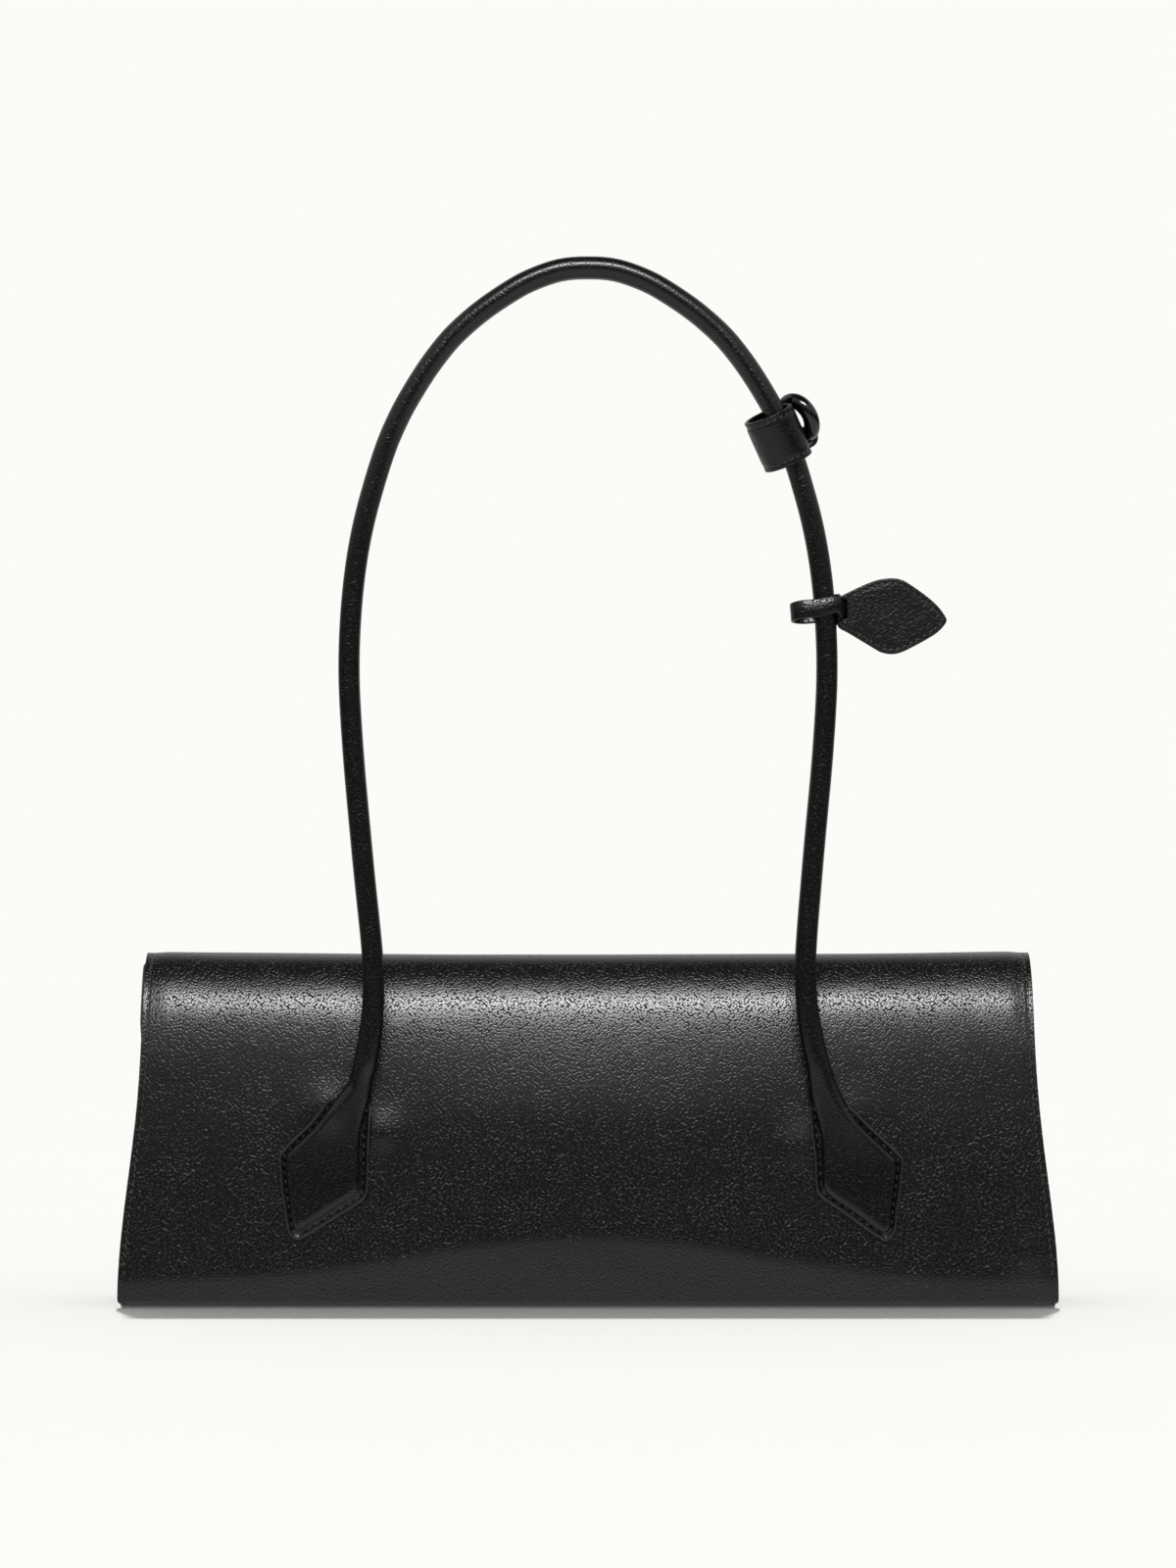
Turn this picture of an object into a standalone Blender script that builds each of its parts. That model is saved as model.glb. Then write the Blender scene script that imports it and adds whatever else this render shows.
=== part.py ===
"""Elongated flap bag in black grained leather with one rolled handle on its back panel.

The back panel faces -Y, the front with the closed flap faces +Y and +Z is up.
The origin lies on the floor under the middle of the base.
"""
import math

import bmesh
import bpy
from mathutils import Matrix, Vector

MM = 0.001

# The body is an arch of leather over a flat base, flared towards its foot.
BODY_HEIGHT = 132.5 * MM
BODY_HALF_DEPTH = 32.5 * MM
BASE_HALF_WIDTH = 175.4 * MM
TOP_DRAW_IN = 8.6 * MM
WALL_POWER = 4
FLARE_POWER = 1.8

# The walls are layers: leather outside, board in the middle, lining inside.
OUTER_LEATHER = 1.4 * MM
GUSSET_LEATHER = 1.2 * MM
BACK_BOARD = 1.2 * MM
CLOSURE_BOARD = 1.5 * MM
BASE_BOARD = 1.8 * MM
LINING = 0.8 * MM
FACING = 0.9 * MM
LAYER_GAP = 0.3 * MM
FLAP_CLEARANCE = 0.6 * MM
BOARD_MARGIN = 10.0 * MM

# The flap turns on a line at the back of the fold and hangs over the front.
HINGE_DEPTH = 12.0 * MM
HINGE_CLEARANCE = 0.4 * MM
FLAP_END_HEIGHT = 36.0 * MM
FLAP_CORNER = 12.0 * MM
FLAP_BOARD_DROP = 26.5 * MM
FLAP_BOARD_MARGIN = 7.0 * MM

# How far the mouth lies under the fold, and what ends under the mouth.
MOUTH_DROP = 24.5 * MM
GUSSET_TOP_DROP = 5.0 * MM
FACING_DEPTH = 18.0 * MM
BOARD_TOP_DROP = 8.0 * MM

# The base is a shallow pan of leather with turned-up edges.
BASE_CORNER = 3.2 * MM
BASE_RIM_RISE = 0.3 * MM

# Each gusset is sewn in by two flanges and folds inwards towards the mouth.
FLANGE_WIDTH = 6.0 * MM
FLANGE_SETBACK = 0.6 * MM
GUSSET_TOP_FOLD = 11.0 * MM
GUSSET_BASE_FOLD = 1.0 * MM
# Places across the web from back to front, and how much of the fold each takes.
GUSSET_FOLD_SHARES = ((0.0, 0.0), (0.25, 0.62), (0.5, 1.0), (0.75, 0.62), (1.0, 0.0))

# Hidden magnets: one pair in the front board and one pair in the flap board.
MAGNET_RADIUS = 7.0 * MM
MAGNET_THICKNESS = 1.4 * MM
MAGNET_SEAT_CLEARANCE = 0.4 * MM
MAGNET_SPREAD = 70.0 * MM
MAGNET_HEIGHT = 56.0 * MM

# Slip pocket on the back lining.
POCKET_HALF_WIDTH = 75.0 * MM
POCKET_BOTTOM = 18.0 * MM
POCKET_TOP = 84.0 * MM
POCKET_GAPE = 7.6 * MM
POCKET_SEAM = 4.0 * MM
POCKET_GUSSET = 7.0 * MM

# The handle is a leather tube over a cord, turning in the necks of its two patches.
PIVOT_HEIGHT = 88.0 * MM
HANDLE_TOP = 387.3 * MM
HANDLE_HALF_SPAN = 88.9 * MM
HANDLE_RADIUS = 4.0 * MM
HANDLE_CROWN_RADIUS = 4.3 * MM
HANDLE_END_RADIUS = 4.6 * MM
HANDLE_LEATHER = 1.1 * MM
HANDLE_FLARE_LENGTH = 32.0 * MM
CORE_RADIUS = 2.5 * MM
CORE_END_DEPTH = 2.0 * MM
HANDLE_PANEL_CLEARANCE = 0.5 * MM
HANDLE_STEP = 10.0 * MM
PIVOT_CLEARANCE = 0.35 * MM
PATCH_PAIR_SHIFT = 1.4 * MM
# Half the handle's centre line from pivot to crown: across and up, as shares.
HANDLE_ROUTE_SHARES = (
    (0.956, 0.0), (0.918, 0.056), (0.905, 0.133), (0.941, 0.26), (0.985, 0.407), (1.0, 0.516),
    (0.973, 0.626), (0.903, 0.723), (0.781, 0.8205), (0.5546, 0.918), (0.246, 0.9837), (0.0, 1.0),
)
SHIFT_FADE_SHARE = 0.2

# Diamond patches at the handle's feet, each over a pad.
PATCH_INNER = 80.1 * MM
PATCH_BOTTOM = 23.4 * MM
PATCH_WIDTH = 34.5 * MM
PATCH_HEIGHT = 60.1 * MM
PATCH_LEATHER = 1.4 * MM
PATCH_PAD = 1.1 * MM
PATCH_SEAM = 3.6 * MM
PATCH_SLOPE = 2.0 * MM
PATCH_OUTER_RADIUS = 7.0 * MM
PATCH_FOOT_RADIUS = 3.1 * MM
PATCH_HEEL_RADIUS = 3.6 * MM
PATCH_NECK_RADIUS = 1.0 * MM
PATCH_CORNER_SHARES = ((0.284, 1.0), (1.0, 0.564), (0.884, 0.0), (0.052, 0.324), (0.0, 0.99))
PATCH_SPINE_SHARES = ((0.13, 0.97), (0.5, 0.46))
PATCH_INSET_LIMIT_SHARE = 0.6
PAD_CLEARANCE = 3.0 * MM
PAD_TOP = 56.0 * MM
PATCH_ROWS = 6

# Neck that leads each end of the handle down into its patch.
NECK_LENGTH = 23.0 * MM
NECK_LEAN = 8.6 * MM
NECK_TOP_HALF_WIDTH = 4.9 * MM
NECK_TOP_HALF_DEPTH = 4.3 * MM
NECK_FOOT_HALF_WIDTH = 8.4 * MM
NECK_FOOT_HALF_DEPTH = 0.5 * MM
NECK_RINGS = 5

# Keeper: a loose band round the handle that carries a ring in a small loop.
KEEPER_RISE_SHARE = 0.7925
KEEPER_HEIGHT = 20.0 * MM
KEEPER_RADIUS = 9.5 * MM
KEEPER_LEATHER = 1.5 * MM
KEEPER_SAG = 2.7 * MM
KEEPER_SHIFT = 0.1 * MM
KEEPER_LEAN = math.radians(0.5)
KEEPER_NOD = math.radians(13)
RING_RADIUS = 7.6 * MM
RING_SECTION = 2.4 * MM
RING_LIFT = 2.5 * MM
RING_AZIMUTH = math.radians(34)
RING_CLEARANCE = 0.35 * MM
RING_LOOP_WIDTH = 4.5 * MM
RING_LOOP_LEATHER = 1.0 * MM
RING_LOOP_CLEARANCE = 0.6 * MM

# Toggle: a leaf of two leathers on a strap loop that slides on the handle.
TOGGLE_RISE_SHARE = 0.574
LOOP_HALF_LENGTH = 10.6 * MM
LOOP_REACH = 8.4 * MM
LOOP_HALF_DEPTH = 4.9 * MM
LOOP_ROLL = math.radians(9)
LOOP_STRAP_WIDTH = 6.8 * MM
LOOP_LEATHER = 1.1 * MM
LEAF_LENGTH = 44.9 * MM
LEAF_HEIGHT = 32.5 * MM
LEAF_LEATHER = 1.1 * MM
LEAF_EYE = 3.3 * MM
LEAF_DROP = 19.6 * MM
LEAF_TILT = math.radians(2.3)
SLIT_WIDTH = 3.3 * MM
SLIT_SHIFT = 0.45 * MM
SLIT_CLEARANCE = 0.4 * MM
LEAF_END_RADIUS = 2.0 * MM
LEAF_TOP_RADIUS = 14.5 * MM
LEAF_TIP_RADIUS = 5.0 * MM
LEAF_FOOT_RADIUS = 11.3 * MM
LEAF_CORNER_SHARES = ((0.0, 0.745), (0.464, 1.0), (1.0, 0.44), (0.451, 0.0), (0.0, 0.33))

# How far a cutter reaches past what it cuts.
OVERRUN = 2.0 * MM
# Corners closer together than this are one corner.
WELD = 0.01 * MM

# Counts that set how finely the pieces are divided.
WALL_ROWS = 12
WALL_TOP_SHARE = 0.9
FOLD_ROWS = 12
SHEET_COLUMNS = 4
CORNER_STEPS = 4
ROUND_SIDES = 24
TURN_GAP = 0.012

SIDES = (("left", -1), ("right", 1))

MOUTH_HEIGHT = BODY_HEIGHT - MOUTH_DROP
GUSSET_TOP_HEIGHT = MOUTH_HEIGHT - GUSSET_TOP_DROP
FLAP_BOARD_TOP = BODY_HEIGHT - FLAP_BOARD_DROP
FLAP_BOARD_INSET = OUTER_LEATHER + LAYER_GAP
FLAP_LINING_INSET = FLAP_BOARD_INSET + CLOSURE_BOARD + LAYER_GAP
FRONT_INSET = FLAP_LINING_INSET + FACING + FLAP_CLEARANCE
FRONT_BOARD_INSET = FRONT_INSET + OUTER_LEATHER + LAYER_GAP
FRONT_LINING_INSET = FRONT_BOARD_INSET + CLOSURE_BOARD + LAYER_GAP
BACK_BOARD_INSET = OUTER_LEATHER + LAYER_GAP
BACK_LINING_INSET = BACK_BOARD_INSET + max(BACK_BOARD, GUSSET_LEATHER) + LAYER_GAP
BASE_RIM_HEIGHT = BASE_CORNER + BASE_RIM_RISE
PANEL_FOOT = BASE_RIM_HEIGHT + LAYER_GAP
BOARD_FLOOR = OUTER_LEATHER + LAYER_GAP
LINING_FLOOR = BOARD_FLOOR + BASE_BOARD + LAYER_GAP


def clear_scene():
    for item in list(bpy.data.objects):
        bpy.data.objects.remove(item, do_unlink=True)


def finish(name, colour, roughness, metallic=0.0):
    """One Principled material."""
    material = bpy.data.materials.new(name)
    material.use_nodes = True
    shader = material.node_tree.nodes["Principled BSDF"]
    shader.inputs["Base Color"].default_value = (*colour, 1.0)
    shader.inputs["Roughness"].default_value = roughness
    shader.inputs["Metallic"].default_value = metallic
    return material


def make_finishes():
    """The colours, roughness and metallic values of the bag's materials."""
    return {
        "grained": finish("grained_leather", (0.012, 0.012, 0.013), 0.42),
        "handle": finish("handle_leather", (0.014, 0.014, 0.015), 0.38),
        "facing": finish("facing_leather", (0.016, 0.015, 0.015), 0.5),
        "lining": finish("lining_cloth", (0.03, 0.028, 0.028), 0.85),
        "board": finish("stiffener_board", (0.35, 0.3, 0.24), 0.9),
        "padding": finish("padding_felt", (0.5, 0.49, 0.46), 0.95),
        "core": finish("cord_core", (0.6, 0.55, 0.45), 0.9),
        "magnet": finish("magnet_steel", (0.55, 0.55, 0.56), 0.3, 1.0),
        "ring": finish("ring_lacquer", (0.01, 0.01, 0.011), 0.12),
    }


def arch_point(turn, inset):
    """Point of the side profile at a turn, 0 at the back foot to pi at the front foot."""
    depth = -BODY_HALF_DEPTH * math.cos(turn)
    height = BODY_HEIGHT * math.sin(turn) ** (2 / WALL_POWER)
    slope_depth = 2 * depth / BODY_HALF_DEPTH**2
    slope_height = WALL_POWER * (height / BODY_HEIGHT) ** (WALL_POWER - 1) / BODY_HEIGHT
    inward = -Vector((0.0, slope_depth, slope_height)).normalized()
    return Vector((0.0, depth, height)) + inward * inset


def back_turn(height):
    return math.asin((height / BODY_HEIGHT) ** (WALL_POWER / 2))


def front_turn(height):
    return math.pi - back_turn(height)


def fold_turn(depth):
    return math.acos(-depth / BODY_HALF_DEPTH)


def half_depth(height):
    return BODY_HALF_DEPTH * math.cos(back_turn(height))


def level_inset(height, inset):
    """What an inset measures along Y where the wall leans."""
    turn = back_turn(height)
    inward = (arch_point(turn, inset) - arch_point(turn, 0)).normalized()
    return inset / inward.y


def half_width(height):
    """Half the width of the body, which flares in a soft S towards the base."""
    flare_share = ((1 + math.cos(math.pi * height / BODY_HEIGHT)) / 2) ** FLARE_POWER
    return BASE_HALF_WIDTH - TOP_DRAW_IN * (1 - flare_share)


def arch_turns(first, last, extra=()):
    """Rows shared by every layer, so that their facets run parallel."""
    wall_top = BODY_HEIGHT * WALL_TOP_SHARE
    rows = []
    for step in range(1, WALL_ROWS + 1):
        turn = back_turn(wall_top * step / WALL_ROWS)
        rows += [turn, math.pi - turn]
    fold_start = back_turn(wall_top)
    for step in range(1, FOLD_ROWS):
        rows.append(fold_start + (math.pi - 2 * fold_start) * step / FOLD_ROWS)
    inside = [turn for turn in rows if first + TURN_GAP < turn < last - TURN_GAP]
    return sorted({first, last, *extra, *inside})


def add_object(name, bm, material):
    mesh = bpy.data.meshes.new(name)
    bm.to_mesh(mesh)
    bm.free()
    mesh.materials.append(material)
    item = bpy.data.objects.new(name, mesh)
    bpy.context.scene.collection.objects.link(item)
    return item


def thicken(item, thickness, offset=-1.0):
    """Give a sheet its thickness: inwards for -1, to both sides for 0."""
    solidify = item.modifiers.new("thickness", "SOLIDIFY")
    solidify.thickness = thickness
    solidify.offset = offset
    solidify.use_even_offset = True
    return item


def boolean(item, other, operation):
    """Join or cut with another object, which is then only a guide."""
    modifier = item.modifiers.new(operation.lower(), "BOOLEAN")
    modifier.operation = operation
    modifier.object = other
    modifier.solver = "EXACT"
    other.hide_render = True
    other.display_type = "WIRE"


def add_sheet(name, rows, thickness, material, columns=SHEET_COLUMNS):
    """Sheet through rows of (half width, depth, height), thickened towards the inside."""
    bm = bmesh.new()
    last = len(rows) - 1
    bmesh.ops.create_grid(bm, x_segments=columns, y_segments=last, size=1)
    for vert in bm.verts:
        width, depth, height = rows[round((vert.co.y + 1) / 2 * last)]
        vert.co = Vector((vert.co.x * width, depth, height))
    return thicken(add_object(name, bm, material), thickness)


def arch_rows(turns, inset, margin):
    rows = []
    for turn in turns:
        point = arch_point(turn, inset)
        rows.append((half_width(arch_point(turn, 0).z) - margin, point.y, point.z))
    return rows


def add_arch_sheet(name, first, last, inset, thickness, material, margin=0.0):
    rows = arch_rows(arch_turns(first, last), inset, margin)
    return add_sheet(name, rows, thickness, material)


def add_back_wall(finishes):
    """Back leather, its board and the facing that carries on from the flap's lining."""
    hinge = fold_turn(-HINGE_DEPTH)
    run = arch_point(hinge + TURN_GAP, 0) - arch_point(hinge, 0)
    turn_per_length = TURN_GAP / run.length
    panel_end = hinge - (OUTER_LEATHER / 2 + HINGE_CLEARANCE) * turn_per_length
    panel_start = back_turn(PANEL_FOOT)
    add_arch_sheet("back_panel", panel_start, panel_end, 0, OUTER_LEATHER, finishes["grained"])
    board_top = back_turn(MOUTH_HEIGHT - BOARD_TOP_DROP)
    add_arch_sheet(
        "back_board", back_turn(LINING_FLOOR), board_top, BACK_BOARD_INSET, BACK_BOARD,
        finishes["board"], BOARD_MARGIN,
    )
    facing_start = back_turn(MOUTH_HEIGHT - FACING_DEPTH)
    facing_end = hinge - (OUTER_LEATHER + FACING) * turn_per_length
    add_arch_sheet(
        "back_facing", facing_start, facing_end, BACK_LINING_INSET, FACING,
        finishes["facing"], BOARD_MARGIN,
    )


def add_front_wall(finishes):
    """Front leather under the flap, its board with two seats, and the mouth facing."""
    foot = front_turn(PANEL_FOOT)
    mouth = front_turn(MOUTH_HEIGHT)
    add_arch_sheet("front_panel", mouth, foot, FRONT_INSET, OUTER_LEATHER, finishes["grained"])
    board = add_arch_sheet(
        "front_board", front_turn(MOUTH_HEIGHT - BOARD_TOP_DROP), front_turn(LINING_FLOOR),
        FRONT_BOARD_INSET, CLOSURE_BOARD, finishes["board"], BOARD_MARGIN,
    )
    add_magnets("front", board, FRONT_BOARD_INSET, finishes)
    add_arch_sheet(
        "front_facing", mouth, front_turn(MOUTH_HEIGHT - FACING_DEPTH), FRONT_LINING_INSET, FACING,
        finishes["facing"], BOARD_MARGIN,
    )


def add_magnets(wall, board, inset, finishes, parent=None):
    """A pair of disc magnets let into a board of the closure."""
    turn = front_turn(MAGNET_HEIGHT)
    middle = arch_point(turn, inset + CLOSURE_BOARD / 2)
    outward = arch_point(turn, 0) - middle
    turned = outward.to_track_quat("Z", "Y").to_matrix().to_4x4()
    for side_name, side in SIDES:
        place = Matrix.Translation(middle + Vector((side * MAGNET_SPREAD, 0, 0))) @ turned
        magnet = add_disc(
            f"{wall}_magnet_{side_name}", place, MAGNET_RADIUS, MAGNET_THICKNESS, finishes["magnet"]
        )
        seat = add_disc(
            f"{wall}_magnet_seat_{side_name}", place, MAGNET_RADIUS + MAGNET_SEAT_CLEARANCE,
            CLOSURE_BOARD + OVERRUN, finishes["board"],
        )
        boolean(board, seat, "DIFFERENCE")
        if parent:
            hang_on(magnet, parent)


def add_disc(name, place, radius, thickness, material):
    bm = bmesh.new()
    bmesh.ops.create_cone(
        bm, cap_ends=True, segments=ROUND_SIDES, radius1=radius, radius2=radius, depth=thickness
    )
    bmesh.ops.transform(bm, matrix=place, verts=bm.verts)
    return add_object(name, bm, material)


def add_base(finishes):
    """Leather pan with a rounded edge along front and back, and its board."""
    front = BODY_HALF_DEPTH - FRONT_INSET
    back = -BODY_HALF_DEPTH
    rim = [(front, BASE_RIM_HEIGHT)]
    for step in range(CORNER_STEPS + 1):
        angle = math.radians(90) * step / CORNER_STEPS
        drop = BASE_CORNER * (1 - math.sin(angle))
        rim.append((front - BASE_CORNER * (1 - math.cos(angle)), drop))
    for step in range(CORNER_STEPS + 1):
        angle = math.radians(90) * (1 - step / CORNER_STEPS)
        drop = BASE_CORNER * (1 - math.sin(angle))
        rim.append((back + BASE_CORNER * (1 - math.cos(angle)), drop))
    rim.append((back, BASE_RIM_HEIGHT))
    rows = [(half_width(height), depth, height) for depth, height in rim]
    add_sheet("base_panel", rows, OUTER_LEATHER, finishes["grained"])
    inner_back = back + BASE_CORNER
    inner_front = front - BASE_CORNER
    board_width = BASE_HALF_WIDTH - FLANGE_SETBACK
    board_rows = [(board_width, inner_front, BOARD_FLOOR), (board_width, inner_back, BOARD_FLOOR)]
    add_sheet("base_board", board_rows, BASE_BOARD, finishes["board"])


def add_body_lining(finishes):
    """One strip of lining down the front, over the base board and up the back."""
    top = MOUTH_HEIGHT - FACING_DEPTH - LAYER_GAP
    front_turns = arch_turns(front_turn(top), front_turn(LINING_FLOOR))
    back_turns = arch_turns(back_turn(LINING_FLOOR), back_turn(top))
    rows = arch_rows(front_turns, FRONT_LINING_INSET, BOARD_MARGIN)
    rows += arch_rows(back_turns, BACK_LINING_INSET, BOARD_MARGIN)
    add_sheet("body_lining", rows, LINING, finishes["lining"])


def gusset_depths(height, back_inset, front_inset):
    """Where the gusset's two flanges lie at a height."""
    back = -half_depth(height) + level_inset(height, back_inset)
    front = half_depth(height) - level_inset(height, front_inset)
    return back, front


def gusset_web(height):
    """Across and depth of the gusset's web: in from the flange, folding towards the middle."""
    back, front = gusset_depths(
        height, BACK_BOARD_INSET + GUSSET_LEATHER / 2, FRONT_BOARD_INSET + GUSSET_LEATHER / 2
    )
    rise_share = (height - LINING_FLOOR) / (GUSSET_TOP_HEIGHT - LINING_FLOOR)
    fold = GUSSET_BASE_FOLD + (GUSSET_TOP_FOLD - GUSSET_BASE_FOLD) * rise_share
    root = half_width(height) - FLANGE_SETBACK - FLANGE_WIDTH
    return [(root - fold * fold_share, back + (front - back) * across_share)
            for across_share, fold_share in GUSSET_FOLD_SHARES]


def gusset_levels(floor):
    return [floor + (GUSSET_TOP_HEIGHT - floor) * step / WALL_ROWS for step in range(WALL_ROWS + 1)]


def add_gusset(side_name, side, finishes):
    """Gusset with its flanges against back and front, and the lining behind it."""
    rows = []
    for height in gusset_levels(LINING_FLOOR):
        web = gusset_web(height)
        edge = half_width(height) - FLANGE_SETBACK
        row = [(edge, web[0][1]), *web, (edge, web[-1][1])]
        rows.append([Vector((side * across, depth, height)) for across, depth in row])
    add_net(f"{side_name}_gusset", rows, GUSSET_LEATHER, finishes["grained"])
    lining_rows = []
    for height in gusset_levels(LINING_FLOOR + LINING + LAYER_GAP):
        web = gusset_web(height)
        back, front = gusset_depths(
            height, BACK_LINING_INSET + FACING + LAYER_GAP, FRONT_LINING_INSET + FACING + LAYER_GAP
        )
        stretch = math.dist(web[0], web[1]) / (web[1][1] - web[0][1])
        behind = ((GUSSET_LEATHER + LINING) / 2 + LAYER_GAP) * stretch
        slope = (web[1][0] - web[0][0]) / (web[1][1] - web[0][1])
        back_end = (web[0][0] + slope * (back - web[0][1]), back)
        front_end = (web[-1][0] + slope * (web[-1][1] - front), front)
        row = [back_end, *web[1:-1], front_end]
        lining_rows.append(
            [Vector((side * (across - behind), depth, height)) for across, depth in row]
        )
    add_net(f"{side_name}_gusset_lining", lining_rows, LINING, finishes["lining"])


def add_net(name, rows, thickness, material, offset=0.0):
    """Sheet through a net of points, thickened to both sides."""
    bm = bmesh.new()
    columns = len(rows[0]) - 1
    last = len(rows) - 1
    bmesh.ops.create_grid(bm, x_segments=columns, y_segments=last, size=1)
    for vert in bm.verts:
        column = round((vert.co.x + 1) / 2 * columns)
        row = round((vert.co.y + 1) / 2 * last)
        vert.co = rows[row][column]
    return thicken(add_object(name, bm, material), thickness, offset)


def add_pocket(finishes):
    """Slip pocket that stands open a little from the back lining."""
    floor = BACK_LINING_INSET + LINING + LAYER_GAP
    turns = [back_turn(POCKET_BOTTOM), back_turn(POCKET_BOTTOM + POCKET_SEAM)]
    turns += arch_turns(back_turn(POCKET_BOTTOM + POCKET_SEAM + POCKET_GUSSET), back_turn(POCKET_TOP))
    side_lengths = (0.0, POCKET_SEAM, POCKET_SEAM + POCKET_GUSSET)
    side_gapes = (0.0, 0.0, POCKET_GAPE)
    rows = []
    for row, turn in enumerate(turns):
        row_gape = POCKET_GAPE if row > 1 else 0.0
        points = []
        for side in (-1, 1):
            run = [(side * (POCKET_HALF_WIDTH - length), min(gape, row_gape))
                   for length, gape in zip(side_lengths, side_gapes)]
            points += run if side < 0 else run[::-1]
        rows.append([arch_point(turn, floor + gape) + Vector((x, 0, 0)) for x, gape in points])
    add_net("slip_pocket", rows, LINING, finishes["lining"], -1.0)


def add_flap(finishes):
    """Flap leather from the hinge line over the fold to the front, its board and lining."""
    hinge_turn = fold_turn(-HINGE_DEPTH)
    end_turn = front_turn(FLAP_END_HEIGHT)
    hinge = add_axis("flap_hinge", arch_point(hinge_turn, OUTER_LEATHER / 2))
    end = arch_point(end_turn, 0)
    corner_turns = []
    for step in range(1, CORNER_STEPS + 1):
        rise = FLAP_CORNER * (1 - math.cos(math.radians(90) * step / CORNER_STEPS))
        corner_turns.append(front_turn(FLAP_END_HEIGHT + rise))
    for name, inset, thickness, start, material in (
        ("flap_leather", 0, OUTER_LEATHER, hinge_turn, finishes["grained"]),
        ("flap_lining", FLAP_LINING_INSET, FACING, hinge_turn + TURN_GAP, finishes["facing"]),
    ):
        turns = arch_turns(start, end_turn, corner_turns)
        rows = []
        for (width, depth, height), turn in zip(arch_rows(turns, inset, 0), turns):
            distance = (arch_point(turn, 0) - end).length if turn > math.pi / 2 else FLAP_CORNER
            short = max(0.0, FLAP_CORNER - distance)
            width -= FLAP_CORNER - math.sqrt(FLAP_CORNER**2 - short**2)
            rows.append((width, depth, height))
        hang_on(add_sheet(name, rows, thickness, material), hinge)
    board = add_arch_sheet(
        "flap_board", front_turn(FLAP_BOARD_TOP), front_turn(FLAP_END_HEIGHT + FLAP_BOARD_MARGIN),
        FLAP_BOARD_INSET, CLOSURE_BOARD, finishes["board"], FLAP_BOARD_MARGIN,
    )
    hang_on(board, hinge)
    add_magnets("flap", board, FLAP_BOARD_INSET, finishes, hinge)


def add_axis(name, place, parent=None):
    """Empty on a joint's axis, at a point or in a full frame."""
    frame = place if isinstance(place, Matrix) else Matrix.Translation(place)
    axis = bpy.data.objects.new(name, None)
    bpy.context.scene.collection.objects.link(axis)
    axis["frame"] = [value for row in frame for value in row]
    axis.matrix_world = frame
    if parent:
        axis.parent = parent
        axis.matrix_parent_inverse = frame_of(parent).inverted()
        axis.matrix_basis = frame
    return axis


def frame_of(axis):
    values = list(axis["frame"])
    return Matrix([values[row * 4:row * 4 + 4] for row in range(4)])


def hang_on(item, axis):
    """Parent a piece to its axis and leave it where it was modelled."""
    item.parent = axis
    item.matrix_parent_inverse = frame_of(axis).inverted()


def smooth_curve(points, step):
    """Points about a step apart on a smooth curve through the given ones."""
    padded = [2 * points[0] - points[1], *points, 2 * points[-1] - points[-2]]
    result = []
    for first, start, end, last in zip(padded, padded[1:], padded[2:], padded[3:]):
        parts = max(1, round((end - start).length / step))
        for part in range(parts):
            share = part / parts
            result.append(
                start
                + (end - first) * share / 2
                + (first * 2 - start * 5 + end * 4 - last) * share**2 / 2
                + (start * 3 - first - end * 3 + last) * share**3 / 2
            )
    return result + [points[-1]]


def pivot_depth():
    clearance = HANDLE_PANEL_CLEARANCE + HANDLE_END_RADIUS
    return -half_depth(PIVOT_HEIGHT) - clearance


def handle_route():
    """Centre line of the handle from the left pivot over the crown to the right one."""
    rise = HANDLE_TOP - PIVOT_HEIGHT
    right = []
    left = []
    for across_share, up_share in HANDLE_ROUTE_SHARES:
        shift = PATCH_PAIR_SHIFT * max(0.0, 1 - up_share / SHIFT_FADE_SHARE)
        height = PIVOT_HEIGHT + rise * up_share
        right.append(Vector((HANDLE_HALF_SPAN * across_share + shift, pivot_depth(), height)))
        left.append(Vector((shift - HANDLE_HALF_SPAN * across_share, pivot_depth(), height)))
    return smooth_curve(left + right[-2::-1], HANDLE_STEP)


def route_frame(rise_share):
    """Frame on the right run of the handle: X outwards, Y to the front, Z up the cord."""
    route = handle_route()
    height = PIVOT_HEIGHT + (HANDLE_TOP - PIVOT_HEIGHT) * rise_share
    run = route[len(route) // 2:]
    for upper, lower in zip(run, run[1:]):
        if lower.z <= height:
            break
    place = lower.lerp(upper, (height - lower.z) / (upper.z - lower.z))
    up = (upper - lower).normalized()
    front = Vector((0, 1, 0))
    out = front.cross(up)
    frame = Matrix((out, front, up)).transposed().to_4x4()
    frame.translation = place
    return frame


def handle_radius(point):
    """Radius of the cover: stouter at the crown, flared at the pivots."""
    above = point.z - PIVOT_HEIGHT
    if above < HANDLE_FLARE_LENGTH:
        return HANDLE_END_RADIUS + (HANDLE_RADIUS - HANDLE_END_RADIUS) * above / HANDLE_FLARE_LENGTH
    rise_share = above / (HANDLE_TOP - PIVOT_HEIGHT)
    return HANDLE_RADIUS + (HANDLE_CROWN_RADIUS - HANDLE_RADIUS) * rise_share**6


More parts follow.
